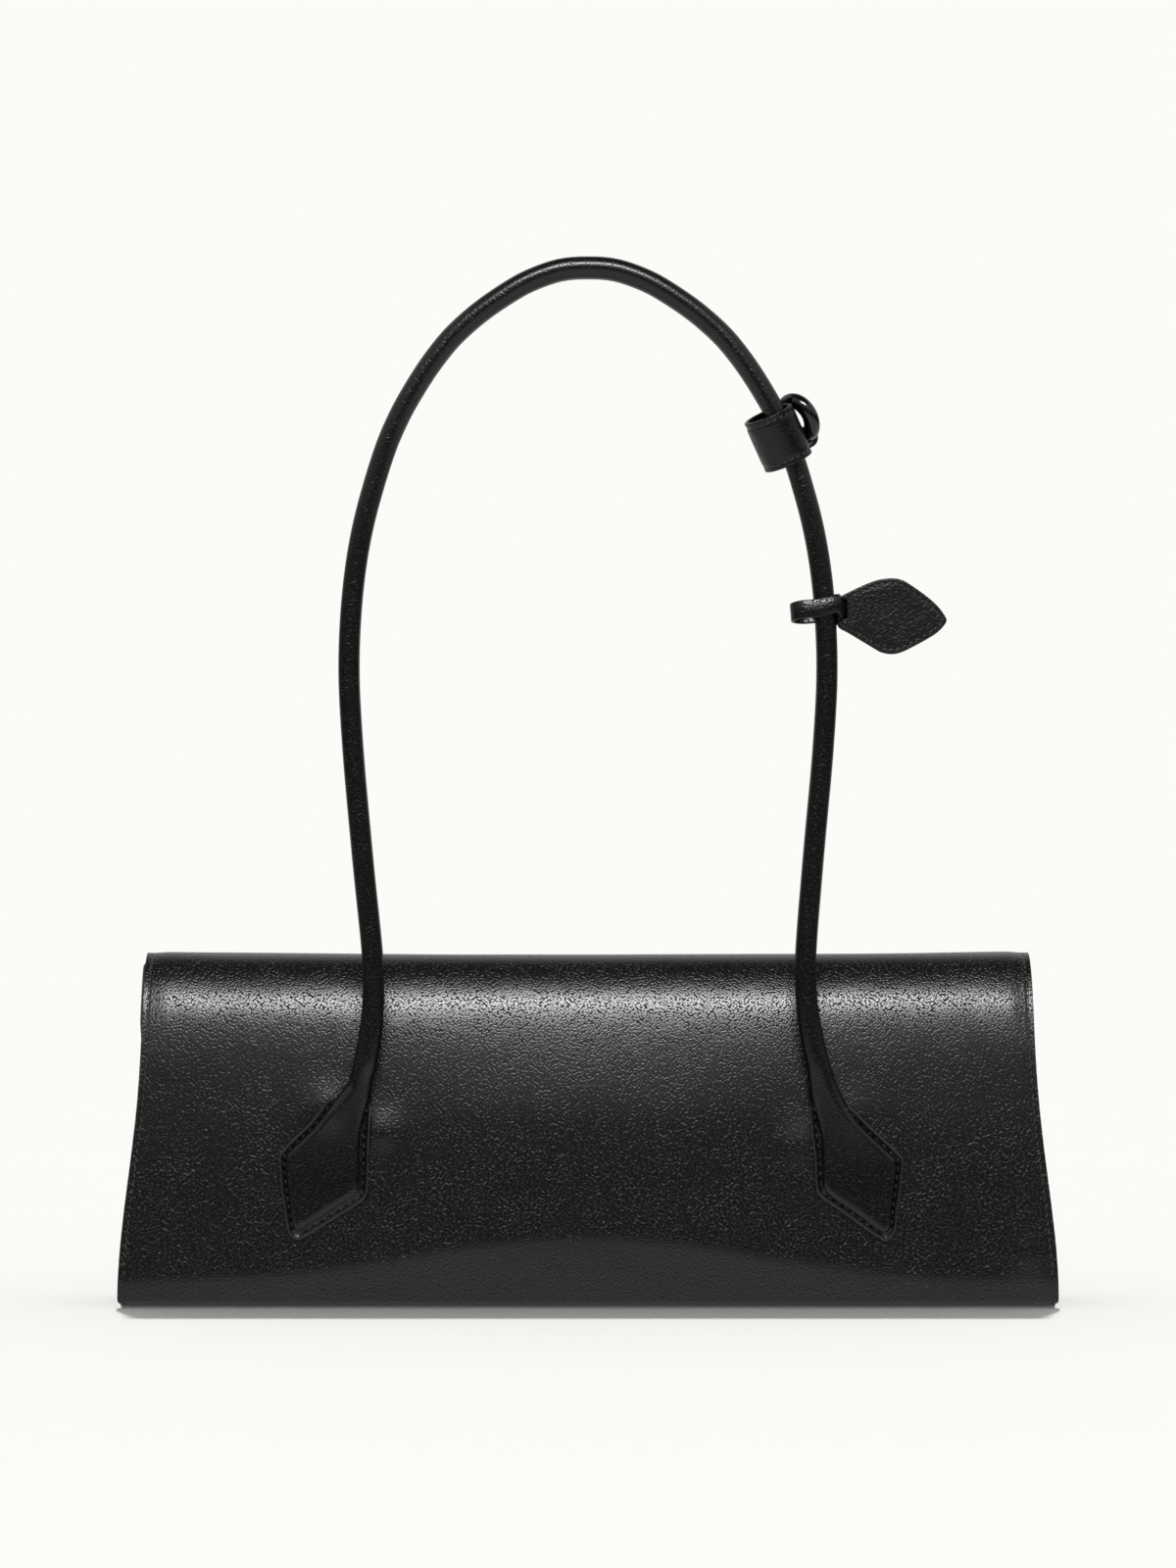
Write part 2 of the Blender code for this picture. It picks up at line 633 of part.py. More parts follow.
def add_tube(name, points, radii, bevel_resolution, capped, material):
    """Tube along a poly line, turned from a curve into a mesh."""
    curve = bpy.data.curves.new(name, "CURVE")
    curve.dimensions = "3D"
    curve.bevel_depth = HANDLE_RADIUS
    curve.bevel_resolution = bevel_resolution
    curve.use_fill_caps = capped
    spline = curve.splines.new("POLY")
    spline.points.add(len(points) - 1)
    for spot, point, radius in zip(spline.points, points, radii):
        spot.co = (*point, 1.0)
        spot.radius = radius / HANDLE_RADIUS
    guide = bpy.data.objects.new(name, curve)
    bpy.context.scene.collection.objects.link(guide)
    mesh = bpy.data.meshes.new_from_object(guide)
    bpy.data.objects.remove(guide, do_unlink=True)
    bm = bmesh.new()
    bm.from_mesh(mesh)
    bmesh.ops.remove_doubles(bm, verts=bm.verts, dist=WELD)
    bmesh.ops.recalc_face_normals(bm, faces=bm.faces)
    item = add_object(name, bm, material)
    item.data.shade_smooth()
    return item


def add_handle(finishes):
    """Rolled cover, round at its two ends, over a cord."""
    route = handle_route()
    pivot = add_axis("handle_pivot", Vector((0, pivot_depth(), PIVOT_HEIGHT)))
    bore = HANDLE_RADIUS - HANDLE_LEATHER
    last_angle = math.acos(bore / HANDLE_END_RADIUS)
    start_way = (route[0] - route[1]).normalized()
    end_way = (route[-1] - route[-2]).normalized()
    points = list(route)
    radii = [handle_radius(point) for point in route]
    for step in range(1, CORNER_STEPS):
        angle = last_angle * step / (CORNER_STEPS - 1)
        reach = HANDLE_END_RADIUS * math.sin(angle)
        radius = HANDLE_END_RADIUS * math.cos(angle)
        points = [route[0] + start_way * reach, *points, route[-1] + end_way * reach]
        radii = [radius, *radii, radius]
    cover = add_tube("handle_cover", points, radii, 4, False, finishes["handle"])
    hang_on(thicken(cover, HANDLE_LEATHER), pivot)
    core_start = route[0] + start_way * CORE_END_DEPTH
    core_end = route[-1] + end_way * CORE_END_DEPTH
    core_points = [core_start, *route[1:-1], core_end]
    core_radii = [CORE_RADIUS] * len(core_points)
    core = add_tube("handle_core", core_points, core_radii, 3, True, finishes["core"])
    hang_on(core, pivot)
    return pivot


def rounded_outline(corners, radii):
    """Outline through arcs at its corners."""
    outline = []
    for index, (corner, radius) in enumerate(zip(corners, radii)):
        to_last = (corners[index - 1] - corner).normalized()
        to_next = (corners[(index + 1) % len(corners)] - corner).normalized()
        half_angle = to_last.angle(to_next) / 2
        centre = corner + (to_last + to_next).normalized() * radius / math.sin(half_angle)
        start = corner + to_last * radius / math.tan(half_angle)
        end = corner + to_next * radius / math.tan(half_angle)
        for step in range(CORNER_STEPS + 1):
            spoke = (start - centre).slerp(end - centre, step / CORNER_STEPS)
            outline.append(centre + spoke * radius)
    return outline


def patch_corner(shares, side):
    across_share, up_share = shares
    across = PATCH_INNER + PATCH_WIDTH * across_share
    return Vector((side * across + PATCH_PAIR_SHIFT, 0, PATCH_BOTTOM + PATCH_HEIGHT * up_share))


def patch_outline(side):
    corners = [patch_corner(shares, side) for shares in PATCH_CORNER_SHARES]
    radii = (
        PATCH_NECK_RADIUS, PATCH_OUTER_RADIUS, PATCH_FOOT_RADIUS, PATCH_HEEL_RADIUS,
        PATCH_NECK_RADIUS,
    )
    return rounded_outline(corners, radii)


def drawn_in(point, inset, low, high, side):
    """Move a point of the outline towards the patch's spine; narrow places stay lower."""
    top, bottom = (patch_corner(shares, side) for shares in PATCH_SPINE_SHARES)
    spine = bottom - top
    share = min(1.0, max(0.0, (point - top).dot(spine) / spine.length_squared))
    inwards = top + spine * share - point
    limit_share = PATCH_INSET_LIMIT_SHARE * inset / (PATCH_SEAM + PATCH_SLOPE)
    reach = min(inset, inwards.length * limit_share)
    place = point + inwards.normalized() * reach
    rise_share = (reach / inset) ** 2 if inset else 0.0
    place.y = -low - (high - low) * rise_share
    return place


def patch_sheet(side, low, rings, top_height=None):
    """Flat patch of nested rings of (inset, lift), cut into rows and laid on the back wall."""
    bm = bmesh.new()
    outline = patch_outline(side)
    first_inset, first_lift = rings[0]
    verts = [bm.verts.new(drawn_in(point, first_inset, low, first_lift, side)) for point in outline]
    face = bm.faces.new(verts)
    index_of = {vert: index for index, vert in enumerate(verts)}
    for inset, lift in rings[1:]:
        bmesh.ops.inset_region(bm, faces=[face], use_boundary=True, thickness=0)
        ring = {}
        for loop in face.loops:
            vert = loop.vert
            neighbours = [edge.other_vert(vert) for edge in vert.link_edges]
            ring[vert] = next(index_of[other] for other in neighbours if other in index_of)
        for vert, index in ring.items():
            vert.co = drawn_in(outline[index], inset, low, lift, side)
        index_of = ring
    for row in range(1, PATCH_ROWS):
        level = Vector((0, 0, PATCH_BOTTOM + PATCH_HEIGHT * row / PATCH_ROWS))
        geometry = [*bm.verts, *bm.edges, *bm.faces]
        bmesh.ops.bisect_plane(bm, geom=geometry, plane_co=level, plane_no=(0, 0, 1))
    if top_height:
        geometry = [*bm.verts, *bm.edges, *bm.faces]
        level = Vector((0, 0, top_height))
        bmesh.ops.bisect_plane(
            bm, geom=geometry, plane_co=level, plane_no=(0, 0, 1), clear_outer=True
        )
    for vert in bm.verts:
        vert.co.y -= half_depth(vert.co.z)
    bm.normal_update()
    if sum(face.normal.y for face in bm.faces) > 0:
        bmesh.ops.reverse_faces(bm, faces=bm.faces)
    return bm


def add_patch(side_name, side, finishes):
    """Diamond patch with its neck and dished pivot seat, and the pad under it."""
    edge_lift = LAYER_GAP + PATCH_LEATHER
    crown_lift = edge_lift + PATCH_PAD + LAYER_GAP
    rings = ((0.0, edge_lift), (PATCH_SEAM, edge_lift), (PATCH_SEAM + PATCH_SLOPE, crown_lift))
    patch = add_object(f"{side_name}_patch", patch_sheet(side, edge_lift, rings), finishes["handle"])
    thicken(patch, PATCH_LEATHER)
    pad_lift = LAYER_GAP + PATCH_PAD
    pad_rings = ((PATCH_SEAM + PATCH_SLOPE + PAD_CLEARANCE, pad_lift),)
    pad_sheet = patch_sheet(side, pad_lift, pad_rings, PAD_TOP)
    pad = add_object(f"{side_name}_patch_pad", pad_sheet, finishes["padding"])
    thicken(pad, PATCH_PAD)
    neck = add_neck(side_name, side, crown_lift, finishes)
    boolean(patch, neck, "UNION")
    pivot = handle_route()[0 if side < 0 else -1]
    dish = HANDLE_END_RADIUS + PIVOT_CLEARANCE
    bm = bmesh.new()
    bmesh.ops.create_uvsphere(bm, u_segments=ROUND_SIDES, v_segments=ROUND_SIDES // 2, radius=dish)
    bmesh.ops.translate(bm, vec=pivot, verts=bm.verts)
    boolean(patch, add_object(f"{side_name}_dish_cutter", bm, finishes["handle"]), "DIFFERENCE")
    reach = dish + OVERRUN
    outwards = Matrix.Translation(pivot - Vector((0, reach / 2, 0)))
    outwards = outwards @ Matrix.Rotation(math.pi / 2, 4, "X")
    notch = add_disc(f"{side_name}_notch_cutter", outwards, dish, reach, finishes["handle"])
    boolean(patch, notch, "DIFFERENCE")


def add_neck(side_name, side, crown_lift, finishes):
    """Loft that narrows in depth and widens from the pivot down into the patch."""
    pivot = handle_route()[0 if side < 0 else -1]
    foot_height = PIVOT_HEIGHT - NECK_LENGTH
    foot_depth = -half_depth(foot_height) - crown_lift + PATCH_LEATHER / 2
    foot = Vector((pivot.x + side * NECK_LEAN, foot_depth, foot_height))
    frames = []
    for ring in range(NECK_RINGS):
        share = ring / (NECK_RINGS - 1)
        centre = pivot.lerp(foot, share)
        half_across = NECK_TOP_HALF_WIDTH + (NECK_FOOT_HALF_WIDTH - NECK_TOP_HALF_WIDTH) * share
        half_deep = NECK_TOP_HALF_DEPTH + (NECK_FOOT_HALF_DEPTH - NECK_TOP_HALF_DEPTH) * share
        frames.append(Matrix.Translation(centre) @ Matrix.Diagonal((half_across, half_deep, 1, 1)))
    bm = bmesh.new()
    bmesh.ops.create_circle(bm, cap_ends=True, segments=ROUND_SIDES // 2, radius=1, matrix=frames[0])
    face = bm.faces[:][0]
    for last, current in zip(frames, frames[1:]):
        grown = bmesh.ops.extrude_face_region(bm, geom=[face])["geom"]
        if last is not frames[0]:
            bmesh.ops.delete(bm, geom=[face], context="FACES_ONLY")
        face = [part for part in grown if isinstance(part, bmesh.types.BMFace)][0]
        bmesh.ops.transform(bm, matrix=current @ last.inverted(), verts=face.verts)
    bmesh.ops.recalc_face_normals(bm, faces=bm.faces)
    return add_object(f"{side_name}_neck_form", bm, finishes["handle"])


def add_band(name, frame, half_length, radius, width, leather, material):
    """Closed strap round an axis: a ring, or a long loop where half_length is more than radius."""
    straight = half_length - radius
    bm = bmesh.new()
    bmesh.ops.create_circle(
        bm, segments=ROUND_SIDES, radius=radius,
        matrix=Matrix.Rotation(math.pi / ROUND_SIDES, 4, "Z"),
    )
    for vert in bm.verts:
        vert.co.x += math.copysign(straight, vert.co.x)
        vert.co.z = -width / 2
    grown = bmesh.ops.extrude_edge_only(bm, edges=bm.edges[:])["geom"]
    upper = [part for part in grown if isinstance(part, bmesh.types.BMVert)]
    bmesh.ops.translate(bm, vec=(0, 0, width), verts=upper)
    bmesh.ops.transform(bm, matrix=frame, verts=bm.verts)
    bmesh.ops.recalc_face_normals(bm, faces=bm.faces)
    bm.normal_update()
    middle = frame.translation
    outwards = sum((face.calc_center_median() - middle).dot(face.normal) for face in bm.faces)
    if outwards < 0:
        bmesh.ops.reverse_faces(bm, faces=bm.faces)
    band = add_object(name, bm, material)
    return thicken(band, leather)


def add_keeper(pivot, finishes):
    """Band askew on the handle, ring and the small loop that holds the ring on the band."""
    cord = route_frame(KEEPER_RISE_SHARE)
    slide = add_axis("keeper_slide", cord, pivot)
    frame = cord @ Matrix.Translation((-KEEPER_SAG, -KEEPER_SHIFT, 0))
    frame = frame @ Matrix.Rotation(KEEPER_LEAN, 4, "Y") @ Matrix.Rotation(KEEPER_NOD, 4, "X")
    band = add_band(
        "keeper_band", frame, KEEPER_RADIUS, KEEPER_RADIUS, KEEPER_HEIGHT, KEEPER_LEATHER,
        finishes["handle"],
    )
    hang_on(band, slide)
    reach = KEEPER_RADIUS + RING_CLEARANCE + RING_SECTION
    turned = frame @ Matrix.Rotation(RING_AZIMUTH, 4, "Z")
    foot = turned @ Matrix.Translation((reach, 0, RING_LIFT - RING_RADIUS))
    hinge = add_axis("ring_hinge", foot, slide)
    centre = turned @ Matrix.Translation((reach, 0, RING_LIFT))
    bm = bmesh.new()
    bmesh.ops.create_circle(
        bm, segments=ROUND_SIDES // 2, radius=RING_SECTION,
        matrix=Matrix.Translation((0, RING_RADIUS, 0)),
    )
    bmesh.ops.spin(
        bm, geom=[*bm.verts, *bm.edges], cent=(0, 0, 0), axis=(1, 0, 0), angle=math.tau,
        steps=ROUND_SIDES, use_merge=True,
    )
    bmesh.ops.transform(bm, matrix=centre, verts=bm.verts)
    bmesh.ops.recalc_face_normals(bm, faces=bm.faces)
    ring = add_object("keeper_ring", bm, finishes["ring"])
    ring.data.shade_smooth()
    hang_on(ring, hinge)
    inner = RING_SECTION + RING_LOOP_CLEARANCE
    leg = -reach + KEEPER_RADIUS + RING_CLEARANCE
    profile = [(leg, inner)]
    for step in range(2 * CORNER_STEPS + 1):
        angle = math.pi / 2 - math.pi * step / (2 * CORNER_STEPS)
        profile.append((inner * math.cos(angle), inner * math.sin(angle)))
    profile.append((leg, -inner))
    rows = [[foot @ Vector((x, share * RING_LOOP_WIDTH / 2, z)) for share in (-1, 1)]
            for x, z in profile]
    loop = add_net("ring_loop", rows, RING_LOOP_LEATHER, finishes["handle"], -1.0)
    hang_on(loop, slide)


def add_toggle(pivot, finishes):
    """Strap loop on the handle and the two-layer leaf that hangs in its end by a slit."""
    cord = route_frame(TOGGLE_RISE_SHARE)
    slide = add_axis("toggle_slide", cord, pivot)
    rolled = cord @ Matrix.Rotation(-LOOP_ROLL, 4, "X")
    loop_end = rolled @ Matrix.Translation((LOOP_REACH, 0, 0))
    middle = loop_end @ Matrix.Translation((-LOOP_HALF_LENGTH, 0, 0))
    loop = add_band(
        "leaf_loop", middle, LOOP_HALF_LENGTH, LOOP_HALF_DEPTH + LOOP_LEATHER, LOOP_STRAP_WIDTH,
        LOOP_LEATHER, finishes["handle"],
    )
    hang_on(loop, slide)
    eye = loop_end @ Matrix.Translation((-LOOP_LEATHER / 2, 0, 0))
    eye = eye @ Matrix.Rotation(LOOP_ROLL, 4, "X") @ Matrix.Rotation(LEAF_TILT, 4, "Y")
    hinge = add_axis("leaf_hinge", eye, slide)
    low = Vector((-LEAF_EYE, 0, -LEAF_DROP))
    corners = [low + Vector((LEAF_LENGTH * across_share, 0, LEAF_HEIGHT * up_share))
               for across_share, up_share in LEAF_CORNER_SHARES]
    radii = (LEAF_END_RADIUS, LEAF_TOP_RADIUS, LEAF_TIP_RADIUS, LEAF_FOOT_RADIUS, LEAF_END_RADIUS)
    outline = rounded_outline(corners, radii)
    slit = bmesh.new()
    bmesh.ops.create_cube(slit, size=1)
    slit_size = (SLIT_WIDTH, 2 * LEAF_LEATHER + OVERRUN, LOOP_STRAP_WIDTH + 2 * SLIT_CLEARANCE)
    bmesh.ops.scale(slit, vec=slit_size, verts=slit.verts)
    slit_place = eye @ Matrix.Translation((-SLIT_SHIFT, 0, 0))
    bmesh.ops.transform(slit, matrix=slit_place, verts=slit.verts)
    cutter = add_object("slit_cutter", slit, finishes["handle"])
    for name, side in (("leaf_back_face", -1), ("leaf_front_face", 1)):
        bm = bmesh.new()
        depth = side * (LAYER_GAP + LEAF_LEATHER) / 2
        bm.faces.new([bm.verts.new(eye @ (point + Vector((0, depth, 0)))) for point in outline])
        leaf = thicken(add_object(name, bm, finishes["grained"]), LEAF_LEATHER, 0.0)
        boolean(leaf, cutter, "DIFFERENCE")
        hang_on(leaf, hinge)


def build():
    clear_scene()
    finishes = make_finishes()
    add_back_wall(finishes)
    add_front_wall(finishes)
    add_base(finishes)
    add_body_lining(finishes)
    add_pocket(finishes)
    for side_name, side in SIDES:
        add_gusset(side_name, side, finishes)
        add_patch(side_name, side, finishes)
    add_flap(finishes)
    pivot = add_handle(finishes)
    add_keeper(pivot, finishes)
    add_toggle(pivot, finishes)


build()
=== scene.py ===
import math

import bmesh
import bpy
from mathutils import Matrix, Vector, noise


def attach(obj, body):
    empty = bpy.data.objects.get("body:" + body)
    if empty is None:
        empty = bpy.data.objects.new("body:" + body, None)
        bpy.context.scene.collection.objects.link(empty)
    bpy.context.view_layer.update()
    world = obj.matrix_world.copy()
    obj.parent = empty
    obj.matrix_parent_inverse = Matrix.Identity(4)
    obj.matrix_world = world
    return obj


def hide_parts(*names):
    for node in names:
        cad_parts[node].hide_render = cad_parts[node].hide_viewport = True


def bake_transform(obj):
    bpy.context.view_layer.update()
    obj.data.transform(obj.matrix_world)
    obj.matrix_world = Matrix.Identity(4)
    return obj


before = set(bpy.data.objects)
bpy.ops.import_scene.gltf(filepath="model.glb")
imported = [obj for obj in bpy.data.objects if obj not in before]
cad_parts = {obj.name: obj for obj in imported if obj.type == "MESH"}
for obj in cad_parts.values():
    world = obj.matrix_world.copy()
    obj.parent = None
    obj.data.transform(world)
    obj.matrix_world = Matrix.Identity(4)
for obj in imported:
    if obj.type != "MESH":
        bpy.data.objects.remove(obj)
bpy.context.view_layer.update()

# Studio: a white sweep, one softbox over the camera and a lit backdrop behind the bag.
# The ceiling and the room behind the camera stay dark, so black leather keeps its depth.
MM = 0.001


def linear(hex_colour):
    """sRGB hex value as linear RGBA."""
    channels = [int(hex_colour[start:start + 2], 16) / 255 for start in (0, 2, 4)]
    return (*[c / 12.92 if c <= 0.04045 else ((c + 0.055) / 1.055) ** 2.4 for c in channels], 1.0)


def add_node(tree, kind, inputs=None, **settings):
    """Add a shader node with its settings, and link or fill its inputs."""
    node = tree.nodes.new("ShaderNode" + kind)
    for key, value in settings.items():
        setattr(node, key, value)
    for key, value in (inputs or {}).items():
        if isinstance(value, bpy.types.NodeSocket):
            tree.links.new(value, node.inputs[key])
        else:
            node.inputs[key].default_value = value
    return node


def start_material(name, levels, chart=None):
    """A new material with its plain levels set, its tree and the coordinates that it reads."""
    material = bpy.data.materials.new(name)
    material.use_nodes = True
    tree = material.node_tree
    for level, value in levels.items():
        tree.nodes["Principled BSDF"].inputs[level].default_value = value
    if chart:
        return material, tree, add_node(tree, "UVMap", uv_map=chart).outputs["UV"]
    return material, tree, add_node(tree, "TexCoord").outputs["Object"]


def drive(tree, pattern, tones=None, relief=None, dullness=None):
    """Let a pattern from 0 to 1 set two hex tones, a relief (strength, depth) and the roughness."""
    shader = tree.nodes["Principled BSDF"]
    if tones:
        dark, light = tones
        tone = add_node(tree, "Mix", {0: pattern, 6: linear(dark), 7: linear(light)}, data_type="RGBA")
        tree.links.new(tone.outputs[2], shader.inputs["Base Color"])
    if relief:
        strength, depth = relief
        bump = add_node(tree, "Bump", {"Height": pattern, "Strength": strength, "Distance": depth})
        tree.links.new(bump.outputs["Normal"], shader.inputs["Normal"])
    if dullness:
        low, high = dullness
        dull = add_node(tree, "MapRange", {"Value": pattern, "To Min": low, "To Max": high})
        tree.links.new(dull.outputs[0], shader.inputs["Roughness"])


def add_object(name, data):
    """Put a camera, a light or a mesh in the scene."""
    item = bpy.data.objects.new(name, data)
    scene.collection.objects.link(item)
    return item


def piece(name, bm, materials):
    """Turn a bmesh into a smooth-shaded object."""
    mesh = bpy.data.meshes.new(name)
    bm.to_mesh(mesh)
    bm.free()
    for material in materials:
        mesh.materials.append(material)
    mesh.shade_smooth()
    return add_object(name, mesh)


scene = bpy.context.scene
scene.view_settings.view_transform = "Standard"
body_half_depth = 32.5 * MM
camera_distance = 1.8
camera_height = 0.1588
picture_height = 0.584
picture_middle = 0.1953
camera = add_object("camera", bpy.data.cameras.new("camera"))
scene.camera = camera
camera.location = (0, -camera_distance - body_half_depth, camera_height)
camera.rotation_euler = (math.radians(90), 0, 0)
camera.data.lens = camera.data.sensor_width * camera_distance / picture_height
camera.data.shift_y = (picture_middle - camera_height) / picture_height

# White laminate sweep: a fine tooth of about 1 mm, no gloss.
sweep_laminate, tree, where = start_material("matt_white_laminate", {
    "Base Color": linear("fbfaf6"), "Roughness": 0.9, "Specular IOR Level": 0.1,
})
tooth = add_node(tree, "TexNoise", {"Vector": where, "Scale": 0.9 / MM, "Detail": 2.0})
drive(tree, tooth.outputs["Fac"], relief=(0.2, 0.1 * MM))
bm = bmesh.new()
bmesh.ops.create_circle(bm, cap_ends=True, segments=96, radius=6)
floor = piece("studio_floor", bm, [sweep_laminate])
floor.visible_glossy = False

# Softbox: high over the camera, so that it shows in the leather just under the top fold.
softbox_angle = math.radians(51.5)
softbox_distance = 1.25
softbox_aim = Vector((0, -30, 110)) * MM
softbox = add_object("softbox", bpy.data.lights.new("softbox", "AREA"))
softbox.data.shape = "RECTANGLE"
softbox.data.size = 0.62
softbox.data.size_y = 0.2
softbox.data.energy = 15
softbox.data.cycles.max_bounces = 0
softbox_way = Vector((0, -math.cos(softbox_angle), math.sin(softbox_angle)))
softbox.location = softbox_aim + softbox_distance * softbox_way
softbox.rotation_euler = (math.radians(90) - softbox_angle, 0, 0)
softbox.visible_diffuse = False

# Top light for the sweep: its shadow falls forward, and it is kept out of the gloss.
top_light = add_object("sweep_light", bpy.data.lights.new("sweep_light", "SUN"))
top_light.data.energy = 2.12
top_light.data.angle = math.radians(4)
top_light.rotation_euler = (math.radians(-25.5), 0, 0)
top_light.visible_glossy = False

# The room that the gloss mirrors: a lit backdrop behind the bag, light from under the bag's
# skirt, and a wall over the camera that brightens upwards and ends at a dark ceiling.
least_light = 0.04
world = bpy.data.worlds.new("studio")
scene.world = world
world.use_nodes = True
tree = world.node_tree
tree.nodes.clear()
way = add_node(tree, "SeparateXYZ", {0: add_node(tree, "TexCoord").outputs["Generated"]})
ramps = []
for axis, start, end, first, last in (
    ("Y", 0.34, 0.66, 0.0, 0.6), ("Z", -0.09, -0.33, 0.0, 0.9),
    ("Z", 0.01, 0.46, 0.0, 0.75), ("Z", 0.7, 0.9, 1.0, 0.0),
):
    ramps.append(add_node(tree, "MapRange", {
        "Value": way.outputs[axis], "From Min": start, "From Max": end, "To Min": first, "To Max": last,
    }, interpolation_type="SMOOTHSTEP").outputs[0])
backdrop, under_skirt, wall, ceiling = ramps
mirrored_light = add_node(tree, "Math", {0: wall, 1: ceiling}, operation="MULTIPLY").outputs[0]
for other in (backdrop, under_skirt, least_light):
    mirrored_light = add_node(tree, "Math", {0: mirrored_light, 1: other}, operation="MAXIMUM").outputs[0]
kinds = add_node(tree, "LightPath")
white = (1, 1, 1, 1)
seen = add_node(tree, "Background", {"Color": linear("fcfbf7"), "Strength": 1.0})
glossed = add_node(tree, "Background", {"Color": white, "Strength": mirrored_light})
ambient = add_node(tree, "Background", {"Color": white, "Strength": 0.42})
unseen = add_node(tree, "MixShader", {
    0: kinds.outputs["Is Glossy Ray"], 1: ambient.outputs[0], 2: glossed.outputs[0],
})
whole = add_node(tree, "MixShader", {
    0: kinds.outputs["Is Camera Ray"], 1: unseen.outputs[0], 2: seen.outputs[0],
})
tree.links.new(whole.outputs[0], add_node(tree, "OutputWorld").inputs["Surface"])

# Outer hide: one skin runs from the back foot over the fold to the flap's rounded end.
# It is pebbled calf, drawn over boards, and stitched 2 mm inside its painted edges.
body_height = 132.5 * MM
base_half_width = 175.4 * MM
top_draw_in = 8.6 * MM
panel_foot = 1.6 * MM
foot_corner = 1.3 * MM
flap_end = 36 * MM
flap_corner = 12 * MM
hide_thickness = 0.9 * MM
stitch_inset = 2.2 * MM
stitch_pitch = 2.9 * MM


def arch(turn, inset=0.0):
    """Point of the side profile at a turn, from 0 at the back foot to pi at the front."""
    depth = -body_half_depth * math.cos(turn)
    height = body_height * math.sin(turn) ** 0.5
    slope = Vector((0, 2 * depth / body_half_depth**2, 4 * (height / body_height) ** 3 / body_height))
    return Vector((0, depth, height)) - slope.normalized() * inset


def back_turn(height):
    return math.asin((height / body_height) ** 2)


def half_width(height):
    flare = ((1 + math.cos(math.pi * height / body_height)) / 2) ** 1.8
    return base_half_width - top_draw_in * (1 - flare)


def ease(value, low, high):
    share = min(1.0, max(0.0, (value - low) / (high - low)))
    return share * share * (3 - 2 * share)


belly = 0.9 * MM
belly_rise = 82 * MM
lean_out_share = 0.13
lean_back_share = 0.026
fold_dip = 1.2 * MM
pucker_reach = 7.5
# Places of the puckers beside the patches, and how far each stands out, in millimetres.
puckers = (
    (-97.4, 75.3, 1.7), (-76.5, 66.2, 1.7), (78.7, 61.0, 1.1), (98.7, 73.5, 0.6), (164.0, 21.0, 0.9),
)


def dent(distance, middle, reach):
    """Share of a soft groove or ridge at a distance from its middle line."""
    return math.exp(-(((distance - middle) / reach) ** 2))


def fullness(x, height, from_edge, back):
    """How far the leather stands out from the plain profile."""
    across = min(1.0, abs(x) / half_width(height))
    rise = min(1.0, max(0.0, (height - panel_foot) / belly_rise))
    out = belly * math.sin(math.pi * rise) * (1 - across**6)
    if back:
        # The foot leans out up to a soft bend, highest in the middle, and the panel back over it.
        bend = (10 + 16.6 * dent(across, 0, 0.5)) * MM
        under = lean_out_share * (height - panel_foot)
        over = lean_out_share * (bend - panel_foot) - lean_back_share * (height - bend)
        out = 0.5 * (under + over) - 0.5 * math.hypot(under - over, 0.16 * MM)
        out = out * (1 - ease(height, 70 * MM, 112 * MM)) - 0.15 * MM
        for pucker_x, pucker_z, pucker_out in puckers:
            distance = math.hypot(x / MM - pucker_x, height / MM - pucker_z)
            out += pucker_out * MM * dent(distance, 0, pucker_reach)
    out += 0.22 * MM * noise.noise(Vector((x * 26, height * 34, 3.1 if back else 8.7)))
    out -= 0.4 * MM * (1 - ease(height - panel_foot, 0, 1.1 * MM)) ** 2
    out -= 0.38 * MM * (1 - ease(from_edge, 2.6 * MM, 9 * MM))
    out -= 0.28 * MM * dent(from_edge, stitch_inset, 0.45 * MM)
    return out


def skin(x, turn, from_edge, inset=0.0):
    """Point of the outer skin, with its fullness and the dip of the fold."""
    plain = arch(turn)
    stands = fullness(x, plain.z, from_edge, turn < math.pi / 2)
    place = arch(turn, inset - stands)
    across = min(1.0, abs(x) / half_width(plain.z))
    place.z -= fold_dip * (1 - across**2) * ease(plain.z, 96 * MM, body_height)
    place.x = x
    return place


def back_depth(x, height):
    """Depth of the back skin at a place on the panel."""
    return skin(x, back_turn(height), 30 * MM).y


def net(name, columns, rows, place, materials, inwards=None, unwrap=None):
    """A sheet with a point for each column and row, put where place(column, row) says."""
    bm = bmesh.new()
    bmesh.ops.create_grid(bm, x_segments=len(columns) - 1, y_segments=len(rows) - 1, size=1)
    chart = bm.loops.layers.uv.new("strip")
    spots = {}
    for vert in bm.verts:
        column = columns[round((vert.co.x + 1) / 2 * (len(columns) - 1))]
        row = rows[round((vert.co.y + 1) / 2 * (len(rows) - 1))]
        spots[vert] = (column, row)
        vert.co = place(column, row)
    for face in bm.faces:
        for loop in face.loops:
            loop[chart].uv = unwrap(*spots[loop.vert]) if unwrap else (0, 0)
    bmesh.ops.remove_doubles(bm, verts=bm.verts, dist=0.01 * MM)
    bm.normal_update()
    if inwards is None:
        bmesh.ops.recalc_face_normals(bm, faces=bm.faces)
        return piece(name, bm, materials)
    facing = 0.0
    for face in bm.faces:
        facing += (face.calc_center_median() - inwards).dot(face.normal) * face.calc_area()
    if facing < 0:
        bmesh.ops.reverse_faces(bm, faces=bm.faces)
    return piece(name, bm, materials)


